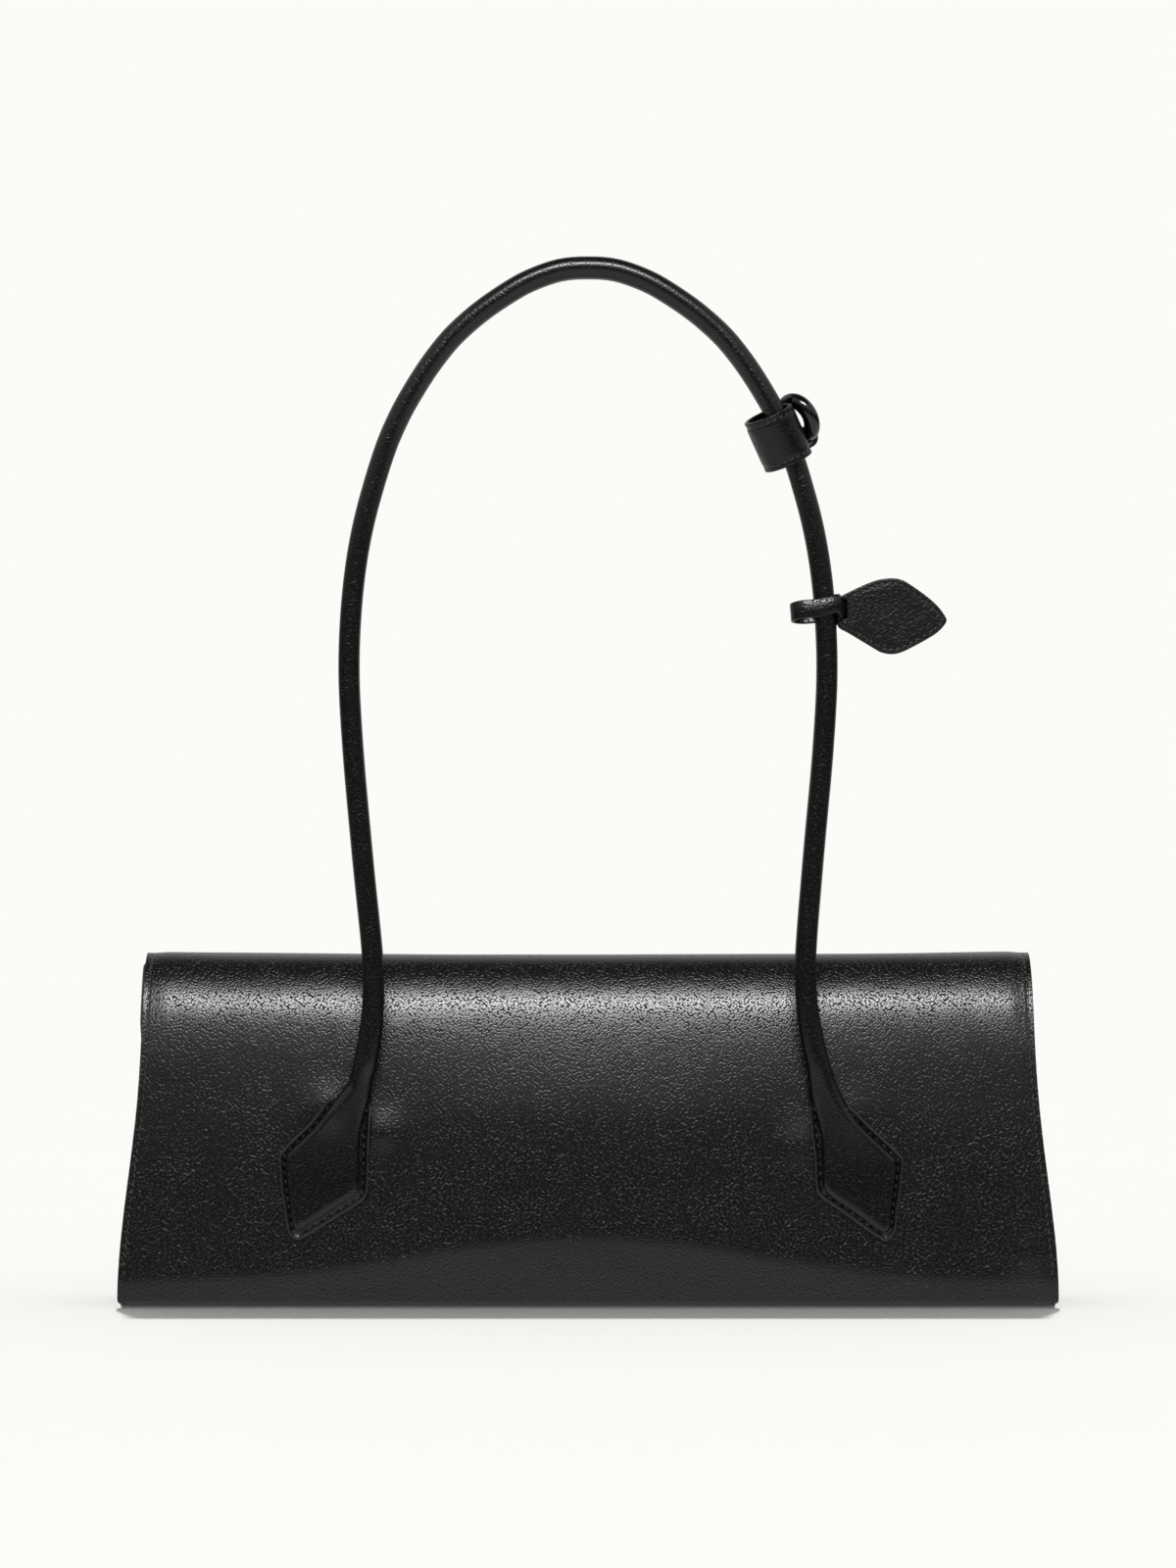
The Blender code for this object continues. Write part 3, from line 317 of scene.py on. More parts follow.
def settle(item, thickness=0.0, offset=-1.0, rounding=0.0, rim=0):
    """Give a sheet its thickness and rounded edges, and apply both."""
    if thickness:
        solidify = item.modifiers.new("thickness", "SOLIDIFY")
        solidify.thickness = thickness
        solidify.offset = offset
        solidify.material_offset_rim = rim
    if rounding:
        bevel = item.modifiers.new("rounding", "BEVEL")
        bevel.width = rounding
        bevel.segments = 2
        bevel.angle_limit = math.radians(50)
    evaluated = item.evaluated_get(bpy.context.evaluated_depsgraph_get())
    mesh = bpy.data.meshes.new_from_object(evaluated)
    item.modifiers.clear()
    item.data = mesh
    mesh.shade_smooth()
    return item


def leather(name, colour, pebble_top_tone, cell, relief, roughness, lean=0, stretch=1.3, strip=False, shine=0.5):
    """Pebbled leather over fine pores: its cells and relief in mm, stretched along a lean in degrees."""
    material, tree, where = start_material(name, {"Specular IOR Level": shine}, "strip" if strip else None)
    cell *= MM
    drift = add_node(tree, "TexNoise", {"Vector": where, "Scale": 0.16 / cell, "Detail": 2.0})
    shift = add_node(tree, "VectorMath", {
        0: drift.outputs["Color"], 1: (0.5, 0.5, 0.5),
    }, operation="SUBTRACT")
    bent = add_node(tree, "VectorMath", {
        0: shift.outputs[0], 1: (cell * 0.8,) * 3, 2: where,
    }, operation="MULTIPLY_ADD")
    heights = []
    for angle in (math.radians(lean), -math.radians(lean)):
        turned = add_node(tree, "Mapping", {
            "Vector": bent.outputs[0],
            "Rotation": (0, 0, angle) if strip else (0, angle, 0),
            "Scale": (1, stretch, 1) if strip else (1, 1, stretch),
        }, vector_type="TEXTURE")
        cells = add_node(tree, "TexVoronoi", {
            "Vector": turned.outputs[0], "Scale": 1 / cell, "Randomness": 0.85,
        }, feature="F1", voronoi_dimensions="2D" if strip else "3D")
        square = add_node(tree, "Math", {0: cells.outputs["Distance"], 1: 3.5}, operation="POWER")
        dome = add_node(tree, "Math", {0: square.outputs[0], 1: -3.0, 2: 1.0}, operation="MULTIPLY_ADD")
        heights.append(dome.outputs[0])
    region = add_node(tree, "TexNoise", {"Vector": where, "Scale": 0.035 / cell, "Detail": 1.0})
    either = add_node(tree, "MapRange", {
        "Value": region.outputs["Fac"], "From Min": 0.42, "From Max": 0.58,
    }, interpolation_type="SMOOTHSTEP")
    grain = add_node(tree, "Mix", {
        0: either.outputs[0], 2: heights[0], 3: heights[1],
    }, data_type="FLOAT")
    pores = add_node(tree, "TexNoise", {"Vector": where, "Scale": 3.2 / cell, "Detail": 3.0})
    surface = add_node(tree, "Math", {
        0: pores.outputs["Fac"], 1: 0.1, 2: grain.outputs[0],
    }, operation="MULTIPLY_ADD")
    # The base colour is darker in the creases between pebbles than on their tops: painted shade in the
    # creases.
    drive(tree, grain.outputs[0], tones=(colour, pebble_top_tone), dullness=(roughness + 0.12, roughness - 0.02))
    drive(tree, surface.outputs[0], relief=(1.0, relief * MM))
    return material


# Drum-dyed calf, milled: round pebbles about 1 mm across catch the light one by one.
milled_calf = leather("milled_calf", "0b0b0c", "101011", 0.74, 0.064, 0.2, 38)
# The same calf on the outer hide: even pebbles with fine creases, darkened by painted shade, laid out along
# the skin.
pebbled_calf = leather("pebbled_calf", "050506", "121214", 0.8, 0.08, 0.24, 38, strip=True)
# Edge paint: several sanded coats, a smooth low gloss.
edge_paint = leather("edge_paint", "141414", "1a1a1a", 0.5, 0.01, 0.38)
# Waxed polyester thread: a twist of 0.35 mm, a little glossier than the hide.
waxed_thread, tree, where = start_material("waxed_thread", {
    "Base Color": linear("403f3d"), "Roughness": 0.36,
})
twist = add_node(tree, "TexWave", {
    "Vector": where, "Scale": 0.9 / MM, "Distortion": 1.5,
}, bands_direction="DIAGONAL")
drive(tree, twist.outputs["Fac"], relief=(0.6, 0.1 * MM))


def spaced_turns(first, last, step):
    """Turns of the profile about a step apart."""
    turns = [first]
    reached = arch(first)
    count = 4000
    for index in range(1, count):
        turn = first + (last - first) * index / count
        if (arch(turn) - reached).length >= step:
            turns.append(turn)
            reached = arch(turn)
    return [*turns, last]


foot_turn = back_turn(panel_foot)
end_turn = math.pi - back_turn(flap_end)
corner_turns = []
for step in range(1, 11):
    corner_turns.append(math.pi - back_turn(flap_end + flap_corner * (1 - math.cos(math.radians(9 * step)))))
foot_turns = [back_turn(panel_foot + step * MM) for step in (0.15, 0.4, 0.8, 1.2, 1.7, 2.3, 3.0)]
even_turns = spaced_turns(foot_turn, end_turn, 1.9 * MM)
even_turns = [turn for turn in even_turns if turn < corner_turns[-1] - 0.001]
hide_turns = sorted({*even_turns, *foot_turns, *corner_turns, end_turn})


def mirrored(steps):
    """Columns from the left edge to the right one: a side, and the distance from that edge."""
    distances = [step * MM for step in steps]
    return [(-1, step) for step in distances] + [(1, step) for step in distances[-2::-1]]


edge_steps = [0, 0.3, 0.7, 1.1, 1.5, 1.8, 2.1, 2.4, 2.7, 3.1, 3.6, 4.3, 5.3, 6.6, 8.2, 10]
hide_columns = mirrored([*edge_steps, *[10 + (175.4 - 10) * step / 82 for step in range(1, 83)]])


def corner_cut(radius, above):
    """How far a rounded corner draws an edge in, at a height above the corner's end."""
    short = min(radius, max(0.0, radius - above))
    return radius - math.sqrt(radius**2 - short**2)


def hide_width(turn):
    """Half width of the hide, rounded at the foot's and the flap's corners."""
    height = arch(turn).z
    if turn > math.pi / 2:
        return half_width(height) - corner_cut(flap_corner, height - flap_end)
    return half_width(height) - corner_cut(foot_corner, height - panel_foot)


def hide_place(column, turn):
    side, from_edge = column
    x = side * hide_width(turn) * (1 - from_edge / base_half_width)
    return skin(x, turn, from_edge)


def running_lengths(points):
    """Length travelled along a line at each of its points."""
    lengths = [0.0]
    for last, point in zip(points, points[1:]):
        lengths.append(lengths[-1] + (point - last).length)
    return lengths


along_hide = dict(zip(hide_turns, running_lengths([arch(turn) for turn in hide_turns])))


def hide_chart(column, turn):
    side, from_edge = column
    return side * hide_width(turn) * (1 - from_edge / base_half_width), along_hide[turn]


inside = Vector((0, 0, 60 * MM))
hide = net("outer_hide", hide_columns, hide_turns, hide_place, [pebbled_calf, edge_paint], inside, hide_chart)
settle(hide, hide_thickness, rim=1)
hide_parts("back_panel", "flap_leather")
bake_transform(hide)


def add_stitches(name, places, length, width, sunk=0.35, material=waxed_thread):
    """Sewn thread: one small capsule for each (place, along, outward)."""
    bm = bmesh.new()
    for place, along, outward in places:
        along = along.normalized()
        across = outward.cross(along).normalized()
        outward = along.cross(across).normalized()
        turned = Matrix((along, across, outward)).transposed().to_4x4()
        turned.translation = place - outward * width * sunk / 2
        size = Matrix.Diagonal((length / 2, width / 2, width / 2, 1))
        bmesh.ops.create_uvsphere(bm, u_segments=8, v_segments=5, radius=1, matrix=turned @ size)
    return piece(name, bm, [material])


def outward_at(turn):
    return (arch(turn) - arch(turn, 1 * MM)).normalized()


stitch_length = 2.3 * MM
thread_width = 0.62 * MM
side_slant = 0.28
hide_seams = []
for side in (-1, 1):
    for turn in spaced_turns(foot_turn + 0.01, end_turn - 0.12, stitch_pitch):
        x = side * (hide_width(turn) - stitch_inset)
        place = skin(x, turn, stitch_inset)
        along = (skin(x, turn + 0.01, stitch_inset) - place).normalized()
        slant = along + Vector((side * side_slant, 0, 0))
        hide_seams.append((place + outward_at(turn) * 0.1 * MM, slant, outward_at(turn)))
end_height = flap_end + stitch_inset
end_x = half_width(end_height) - flap_corner
count = round(2 * end_x / stitch_pitch)
for index in range(count + 1):
    x = -end_x + 2 * end_x * index / count
    turn = math.pi - back_turn(end_height)
    hide_seams.append((skin(x, turn, 30 * MM), Vector((1, 0, 0.25)), outward_at(turn)))
hide_stitches = add_stitches("hide_stitches", hide_seams, stitch_length, thread_width)
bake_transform(hide_stitches)

# Flap backing: smooth leather glued inside the flap and on over the fold to the mouth.
# With the back facing it makes one strip.
# Smooth calf, matt: only pores and faint creases.
smooth_calf = leather("smooth_calf", "1b1a1a", "201f1f", 0.7, 0.03, 0.5, 20)
backing_inset = 3.5 * MM
backing_half = 171.4 * MM
backing_turns = [turn for turn in hide_turns if turn > back_turn(87 * MM)]
backing_steps = [0, 0.7, 1.4, 2.1, 2.8, 3.6, 4.6, 6, 9]
backing_columns = mirrored([*backing_steps, *[9 + 162.4 * step / 38 for step in range(1, 39)]])


def backing_place(column, turn):
    side, from_edge = column
    height = arch(turn).z
    width = hide_width(turn) - 0.3 * MM
    closing = 1 - ease(from_edge, 1.6 * MM, 5.5 * MM)
    inset = backing_inset
    if turn < math.pi / 2:
        width -= 9.5 * MM * (1 - ease(height, 105 * MM, 116 * MM))
        closing *= ease(height, 112 * MM, 122 * MM)
        inset += 0.8 * MM * (1 - ease(height, 90 * MM, 95 * MM))
    else:
        closing = max(closing, 1 - ease(height - flap_end, 1.6 * MM, 5.5 * MM))
    place = arch(turn, inset - (inset - hide_thickness - 0.1 * MM) * closing)
    across = 1 - from_edge / backing_half
    place.x = side * across * width
    place.z -= fold_dip * (1 - across**2) * ease(height, 96 * MM, body_height)
    return place


backing = net("flap_backing", backing_columns, backing_turns, backing_place,
              [smooth_calf, edge_paint], inside)
settle(backing, 0.8 * MM, rim=1)
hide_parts("flap_lining", "back_facing")
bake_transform(backing)

# Front wall: a panel of the same milled calf, hidden by the flap. It is sewn to the flanges of
# both gussets with waxed thread, and its painted upper edge is glued to a facing.
front_inset = 5.0 * MM
mouth_height = 108 * MM
front_turns = [math.pi - turn for turn in spaced_turns(foot_turn, back_turn(mouth_height), 2.4 * MM)]


def front_place(column, turn):
    side, from_edge = column
    place = arch(turn, front_inset + 0.2 * MM * (1 - ease(from_edge, 2.6 * MM, 9 * MM)))
    place.x = side * half_width(arch(turn).z) * (1 - from_edge / base_half_width)
    return place


front = net("front_hide", hide_columns, front_turns, front_place, [milled_calf, edge_paint], inside)
settle(front, 1.2 * MM, rim=1)
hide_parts("front_panel")
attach(front, "body")
front_seams = []
seam_turns = spaced_turns(math.pi - foot_turn - 0.01, math.pi - back_turn(mouth_height) + 0.004, stitch_pitch)
for side in (-1, 1):
    for turn in seam_turns:
        place = arch(turn, front_inset + 0.2 * MM)
        place.x = side * (half_width(arch(turn).z) - stitch_inset)
        along = (arch(turn + 0.01) - arch(turn)).normalized()
        front_seams.append((place, along + Vector((side * side_slant, 0, 0)), outward_at(turn)))
front_stitches = add_stitches("front_stitches", front_seams, stitch_length, thread_width)
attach(front_stitches, "body")

# Front facing: a band of smooth calf inside the mouth, glued to the front wall over the upper
# edge of the lining. It is cut straight, and its edges are painted.
facing_inset = 8.5 * MM
facing_turns = spaced_turns(math.pi - back_turn(90 * MM), math.pi - back_turn(mouth_height), 2 * MM)
even_shares = [step / 40 - 1 for step in range(81)]


def facing_place(share, turn):
    place = arch(turn, facing_inset)
    place.x = share * (half_width(arch(turn).z) - 10 * MM)
    return place


facing = net("front_mouth_facing", even_shares, facing_turns, facing_place, [smooth_calf, edge_paint], inside)
settle(facing, 0.9 * MM, rim=1)
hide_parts("front_facing")
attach(facing, "body")

# Base: a pan of the same milled calf, kept flat by the board on it. Its edges are folded up a
# few millimetres behind the back and front hides and are glued there.
base_front = body_half_depth - front_inset - 1.4 * MM
base_back = 1.1 * MM - body_half_depth
base_edge = 3.4 * MM


def pan_profile(front_foot, back_foot, floor_height, corner, parts):
    """Depths and heights from the foot of a front wall, over a floor, to the foot of a back wall."""
    rounding = []
    for step in range(7):
        angle = math.radians(15 * step)
        rounding.append((corner * (1 - math.cos(angle)), floor_height + corner * (1 - math.sin(angle))))
    profile = [(front_foot - inwards, height) for inwards, height in rounding]
    for step in range(1, parts):
        run = (back_foot - front_foot + 2 * corner) * step / parts
        profile.append((front_foot - corner + run, floor_height))
    return profile + [(back_foot + inwards, height) for inwards, height in rounding[::-1]]


base_profile = [
    (base_front, base_edge), *pan_profile(base_front, base_back, 0.0, 2.4 * MM, 16), (base_back, base_edge),
]


def base_place(column, level):
    side, from_edge = column
    depth, height = level
    x = side * (half_width(height) - 1.2 * MM) * (1 - from_edge / base_half_width)
    across = min(1.0, abs(x) / half_width(height))
    back = ease(-depth, 26 * MM, body_half_depth)
    depth += 0.55 * MM * (1 - across**4) * back
    height += 0.25 * MM * (1 - ease(from_edge, 0, 4 * MM))
    return Vector((x, depth, height))


base = net("base_pan", hide_columns, base_profile, base_place, [milled_calf, edge_paint],
           Vector((0, 0, 10)) * MM)
settle(base, 1.3 * MM, rim=1)
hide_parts("base_panel")
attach(base, "body")

# Gussets: milled calf without a board, one piece at each end. Each is folded inwards once down
# its middle and has a flange along both sides, glued and sewn to the walls.
gusset_top = 103 * MM
gusset_floor = 3.8 * MM
gusset_heights = [gusset_floor + (gusset_top - gusset_floor) * step / 46 for step in range(47)]
flange = 2.8 * MM
web_parts = 28


def gusset_rise(height):
    return (height - gusset_floor) / (gusset_top - gusset_floor)


def level_inset(height, inset):
    """An inset square to the wall, measured level."""
    turn = back_turn(height)
    return inset / (arch(turn, inset) - arch(turn)).normalized().y


def gusset_section(height, back_inset, front_inset):
    """Depths where the web starts at the back and ends at the front."""
    wall_depth = body_half_depth * math.cos(back_turn(height))
    return level_inset(height, back_inset) - wall_depth, wall_depth - level_inset(height, front_inset)


def gusset_path(height):
    """Across and depth of the web, from the back flange over the fold to the front one."""
    back, front_depth = gusset_section(height, 2.3 * MM, 7.3 * MM)
    rise = gusset_rise(height)
    fold = (1.0 + 10.0 * rise) * MM
    root = half_width(height) - 6.6 * MM
    path = []
    for step in range(web_parts + 1):
        share = step / web_parts
        dip = math.sin(math.pi * share) ** 1.35
        crease = 0.9 * MM * rise * dent(share, 0.5, 0.05)
        path.append((root - fold * dip - crease, back + (front_depth - back) * share))
    return path


for side, side_name in ((-1, "left"), (1, "right")):

    def gusset_place(column, height):
        path = gusset_path(height)
        edge = half_width(height) - 0.8 * MM
        back = path[0][1]
        front_depth = path[-1][1]
        path = [(edge, back), (edge - flange, back), *path, (edge - flange, front_depth), (edge, front_depth)]
        across, depth = path[column]
        ripple = 0.25 * MM * noise.noise(Vector((depth * 60, height * 40, 5.0 * side)))
        return Vector((side * (across + ripple), depth, height))

    gusset = net(f"{side_name}_gusset_hide", range(web_parts + 5), gusset_heights, gusset_place,
                 [milled_calf, edge_paint], inside)
    settle(gusset, 1.1 * MM, offset=0.0, rim=1)
    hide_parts(f"{side_name}_gusset")
    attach(gusset, "body")

# Linings: black cotton twill, one strip for the walls and floor and a piece in each gusset.
# The weave is 0.5 mm, drawn at 1 mm so that it shows; its slubs are a few millimetres long.
cotton_twill, tree, where = start_material("cotton_twill", {"Roughness": 0.85, "Sheen Weight": 0.2})
threads = []
for angle in (math.radians(45), math.radians(-45)):
    turned = add_node(tree, "Mapping", {"Vector": where, "Rotation": (angle, angle, 0)})
    threads.append(add_node(tree, "TexWave", {
        "Vector": turned.outputs[0], "Scale": 0.33 / MM, "Distortion": 0.6, "Detail": 1.0,
    }).outputs["Fac"])
weave = add_node(tree, "Math", {0: threads[0], 1: threads[1]}, operation="MAXIMUM")
slub = add_node(tree, "TexNoise", {"Vector": where, "Scale": 0.18 / MM, "Detail": 3.0})
drive(tree, slub.outputs["Fac"], tones=("242223", "363334"))
drive(tree, weave.outputs[0], relief=(0.7, 0.12 * MM))

lining_floor = 3.8 * MM
lining_foot = 8 * MM
lining_top = 89.5 * MM
lining_gap = 10 * MM
front_lining_inset = 8.5 * MM
back_lining_inset = 3.2 * MM
foot_turn_up = back_turn(lining_foot)
top_turn = back_turn(lining_top)
lining_front = [arch(turn, front_lining_inset)
                for turn in spaced_turns(math.pi - top_turn, math.pi - foot_turn_up, 2.5 * MM)]
lining_back = [arch(turn, back_lining_inset) for turn in spaced_turns(foot_turn_up, top_turn, 2.5 * MM)]
lining_pan = pan_profile(lining_front[-1].y, lining_back[0].y, lining_floor, 4 * MM, 18)[1:-1]
lining_path = [*lining_front, *[Vector((0, depth, height)) for depth, height in lining_pan], *lining_back]
lining_shares = [step / 45 - 1 for step in range(91)]


def lining_place(share, point):
    place = point.copy()
    place.x = share * (half_width(place.z) - lining_gap)
    sway = 0.35 * MM * abs(noise.noise(Vector((place.x * 30, place.y * 40, place.z * 26))))
    place += Vector((0, -place.y, 50 * MM - place.z)).normalized() * sway
    return place


lining = net("compartment_lining", lining_shares, lining_path, lining_place, [cotton_twill], inside)
settle(lining, 0.7 * MM)
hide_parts("body_lining")
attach(lining, "body")
for side, side_name in ((-1, "left"), (1, "right")):

    def gusset_lining_place(column, level):
        height = level + 1.1 * MM * (1 - gusset_rise(level))
        back, front_depth = gusset_section(height, 4.6 * MM, 9.9 * MM)
        across, depth = gusset_path(height)[column]
        depth = min(front_depth, max(back, depth))
        ripple = 0.3 * MM * noise.noise(Vector((depth * 50, height * 60, 9.0 * side)))
        return Vector((side * (across - 2.0 * MM + ripple), depth, height))

    side_lining = net(f"{side_name}_gusset_twill", range(web_parts + 1), gusset_heights, gusset_lining_place,
                      [cotton_twill], inside)
    settle(side_lining, 0.7 * MM, offset=0.0)
    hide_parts(f"{side_name}_gusset_lining")
    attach(side_lining, "body")

# Slip pocket: a panel of the lining's cotton twill, sewn to the back lining at its sides and
# foot. It is cut a little full, so its mouth hangs slack.
pocket_half = 75 * MM
pocket_low = 18 * MM
pocket_high = 84 * MM
pocket_gape = 7.6 * MM
pocket_turns = spaced_turns(back_turn(pocket_low), back_turn(pocket_high), 2 * MM)


def pocket_place(share, turn):
    from_side = (1 - abs(share)) * pocket_half
    from_foot = arch(turn).z - pocket_low
    gape = pocket_gape * ease(from_side, 3.5 * MM, 13 * MM) * ease(from_foot, 3.5 * MM, 16 * MM)
    gape += 0.4 * MM * noise.noise(Vector((share * 5, from_foot * 50, 1.0))) * (gape > 1 * MM)
    place = arch(turn, back_lining_inset + 1.1 * MM + gape)
    place.x = share * pocket_half
    return place


pocket = net("pocket_panel", even_shares, pocket_turns, pocket_place, [cotton_twill],
             Vector((0, -40, 50)) * MM)
settle(pocket, 0.7 * MM, offset=1.0)
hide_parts("slip_pocket")
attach(pocket, "body")

# Boards: pressed leather-fibre board, cut to size and hidden in the walls, base and flap.
# Its fibres are about 1 mm long and lie every way, so it looks mottled and dull.
fibre_board, tree, where = start_material("pressed_fibre_board", {"Roughness": 0.85})
fibres = add_node(tree, "TexNoise", {"Vector": where, "Scale": 0.7 / MM, "Detail": 4.0})
drive(tree, fibres.outputs["Fac"], tones=("8a7657", "b09a78"), relief=(0.5, 0.1 * MM))
for name in ("back_board", "front_board", "flap_board"):
    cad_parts[name].material_slots[0].material = fibre_board
bm = bmesh.new()
bm.from_mesh(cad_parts["base_board"].data)
bmesh.ops.remove_doubles(bm, verts=bm.verts, dist=0.01 * MM)
bmesh.ops.scale(bm, vec=(0.93, 0.93, 1), verts=bm.verts)
bmesh.ops.bevel(bm, geom=bm.edges[:], affect="EDGES", offset=0.3 * MM, segments=2, profile=0.5, material=-1)
base_stiffener = piece("base_stiffener", bm, [fibre_board])
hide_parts("base_board")
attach(base_stiffener, "body")

# Magnets: nickel-plated steel discs, turned, hidden in the closure boards.
# The plating shows the fine lathe cuts under it as a drift of tone and gloss.
plated_steel, tree, where = start_material("nickel_plated_steel", {"Metallic": 1.0})
cuts = add_node(tree, "TexNoise", {"Vector": where, "Scale": 2.5 / MM, "Detail": 2.0})
drive(tree, cuts.outputs["Fac"], tones=("b3b1ab", "cdccc8"), dullness=(0.22, 0.38))
for name in ("front_magnet_left", "front_magnet_right", "flap_magnet_left", "flap_magnet_right"):
    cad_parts[name].material_slots[0].material = plated_steel

# Handle: one strip of calf rolled round a cord; both ends open out into a padded patch.
# The patches are cut in one with the roll, filled with felt, edge-painted and sewn on.
pivot_height = 88 * MM
handle_depth = -34.27 * MM
handle_rise = 299.3 * MM
handle_half_span = 88.9 * MM
pair_shift = 1.4 * MM
patch_leather = 1.5 * MM
route_shares = (
    (0.956, 0.0), (0.918, 0.056), (0.905, 0.133), (0.941, 0.26), (0.985, 0.407), (1.0, 0.516),
    (0.973, 0.626), (0.903, 0.723), (0.781, 0.8205), (0.5546, 0.918), (0.246, 0.9837), (0.0, 1.0),
)


def smooth_curve(points, step):
    """Points about a step apart on a smooth curve through the given ones."""
    padded = [2 * points[0] - points[1], *points, 2 * points[-1] - points[-2]]
    result = []
    for first, start, end, last in zip(padded, padded[1:], padded[2:], padded[3:]):
        parts = max(1, round((end - start).length / step))
        for part in range(parts):
            share = part / parts
            result.append(
                start
                + (end - first) * share / 2
                + (first * 2 - start * 5 + end * 4 - last) * share**2 / 2
                + (start * 3 - first - end * 3 + last) * share**3 / 2
            )
    return result + [points[-1]]


right_run = []
left_run = []
for across, up in route_shares:
    shift = pair_shift * max(0.0, 1 - up / 0.2)
    height = pivot_height + handle_rise * up
    right_run.append(Vector((shift + handle_half_span * across, handle_depth, height)))
    left_run.append(Vector((shift - handle_half_span * across, handle_depth, height)))
coarse_route = smooth_curve(left_run + right_run[-2::-1], 10 * MM)
route = smooth_curve(coarse_route, 2.4 * MM)
taper_height = 32 * MM


def roll_radius(height):
    above = height - pivot_height
    if above < taper_height:
        return 4.6 * MM - 0.6 * MM * above / taper_height
    return 4.0 * MM + 0.3 * MM * (above / handle_rise) ** 6


# Outline of each sewn patch, across and up in millimetres, from the roll's inner side round the
# foot to its outer side; then the foot of its padding, with the width of the padding's shoulder.
patch_edges = {
    -1: (
        (-80.0, 85.4), (-80.6, 79.2), (-80.8, 73.0), (-81.4, 63.9), (-81.7, 54.8), (-81.9, 46.7),
        (-82.2, 43.5), (-84.4, 39.9), (-94.6, 33.4), (-105.1, 26.9), (-107.8, 25.8), (-110.6, 27.1),
        (-111.8, 30.0), (-112.9, 36.8), (-114.1, 44.6), (-114.7, 52.4), (-114.8, 56.1),
        (-114.1, 58.4), (-108.9, 63.9), (-102.5, 70.1), (-97.2, 77.4), (-94.6, 80.0), (-91.0, 82.6),
        (-89.2, 84.4),
    ),
    1: (
        (81.8, 85.4), (82.1, 79.6), (82.7, 71.7), (83.4, 63.4), (84.3, 57.1), (84.8, 47.2),
        (85.9, 42.5), (89.9, 39.2), (94.4, 36.2), (102.2, 30.5), (108.4, 26.3), (111.0, 25.5),
        (113.1, 26.9), (114.4, 29.5), (114.9, 34.2), (116.0, 42.0), (117.0, 50.8), (117.3, 55.0),
        (116.3, 57.1), (111.5, 61.8), (105.3, 67.5), (100.6, 72.2), (96.8, 76.1), (94.3, 80.2),
        (91.9, 85.4),
    ),
}
pillow_feet = {
    -1: (
        (-80.0, 85.4, 4.5), (-80.9, 79.2, 4.0), (-82.3, 74, 3.2), (-84.3, 67.5, 2.2),
        (-85.0, 62, 1.8), (-85.2, 50, 1.7), (-85.5, 45, 1.9), (-87.2, 42, 2.6), (-97.0, 35.8, 2.8),
        (-105.8, 30.3, 2.8), (-108.2, 29.5, 2.4), (-109.9, 31.5, 2.0), (-111.2, 40, 1.8),
        (-112.4, 50, 1.8), (-112.6, 55.8, 1.8), (-110.8, 58.9, 2.0), (-106.1, 63.6, 2.4),
        (-101.3, 68.4, 2.8), (-96.6, 74.4, 3.2), (-93.4, 78.9, 3.8), (-90.6, 82.2, 4.2),
        (-89.2, 84.4, 4.5),
    ),
    1: (
        (81.8, 85.4, 4.5), (82.6, 79.2, 4.0), (83.9, 74, 3.2), (85.9, 67.5, 2.2), (87, 61.5, 1.8),
        (87.3, 50, 1.7), (87.8, 45.5, 1.9), (90, 42, 2.6), (99, 35.8, 2.8), (107.5, 29.6, 2.8),
        (110.3, 28.4, 2.4), (112.2, 30.5, 2.0), (112.8, 36, 1.8), (114, 46, 1.8),
        (114.9, 54.3, 1.8), (113, 57.2, 2.0), (107.8, 62.2, 2.2), (101.5, 68.4, 2.6),
        (97.5, 73.6, 3.2), (95.0, 78.5, 3.8), (93.2, 82.4, 4.2), (91.9, 85.4, 4.5),
    ),
}


def roll_centre(side, height):
    """Centre of the roll above a patch, at a height."""
    run = route[:40] if side < 0 else route[:-41:-1]
    for lower, upper in zip(run, run[1:]):
        if upper.z >= height:
            break
    return lower.x + (upper.x - lower.x) * (height - lower.z) / (upper.z - lower.z)


def chain(points, side):
    """Smooth outline that runs on up both sides of the roll."""
    first = []
    last = []
    for height in (99 * MM, 95 * MM, 91 * MM):
        centre = roll_centre(side, height)
        reach = side * roll_radius(height)
        first.append(Vector((centre - reach, height, 4.5 * MM)))
        last.append(Vector((centre + reach, height, 4.5 * MM)))
    middle = [Vector((*point, 1)[:3]) * MM for point in points]
    return smooth_curve([*first, *middle, *last[::-1]], 0.8 * MM)


edge_chains = {side: chain(patch_edges[side], side) for side in (-1, 1)}
foot_chains = {side: chain(pillow_feet[side], side) for side in (-1, 1)}


def span_at(outline, height):
    """Lowest and highest X where a level crosses an outline."""
    crossings = []
    for start, end in zip(outline, outline[1:]):
        if (start.y - height) * (end.y - height) <= 0 and start.y != end.y:
            crossings.append(start.x + (end.x - start.x) * (height - start.y) / (end.y - start.y))
    return (min(crossings), max(crossings)) if crossings else None


search_reach = 16 * MM
patch_crown = 3.0 * MM
edge_sink = 0.45 * MM
groove_in = 1.9 * MM
groove_depth = 0.42 * MM
welt_in = 0.85 * MM
welt_height = 0.22 * MM


def nearest(outline, x, height):
    """Distance to an outline and the value it carries at the nearest place."""
    best = (search_reach, 2 * MM)
    for start, end in zip(outline, outline[1:]):
        if min(abs(start.x - x), abs(start.y - height)) > search_reach:
            continue
        run_x = end.x - start.x
        run_y = end.y - start.y
        share = ((x - start.x) * run_x + (height - start.y) * run_y) / (run_x * run_x + run_y * run_y)
        share = min(1.0, max(0.0, share))
        distance = math.hypot(start.x + run_x * share - x, start.y + run_y * share - height)
        if distance < best[0]:
            best = (distance, start.z + (end.z - start.z) * share)
    return best


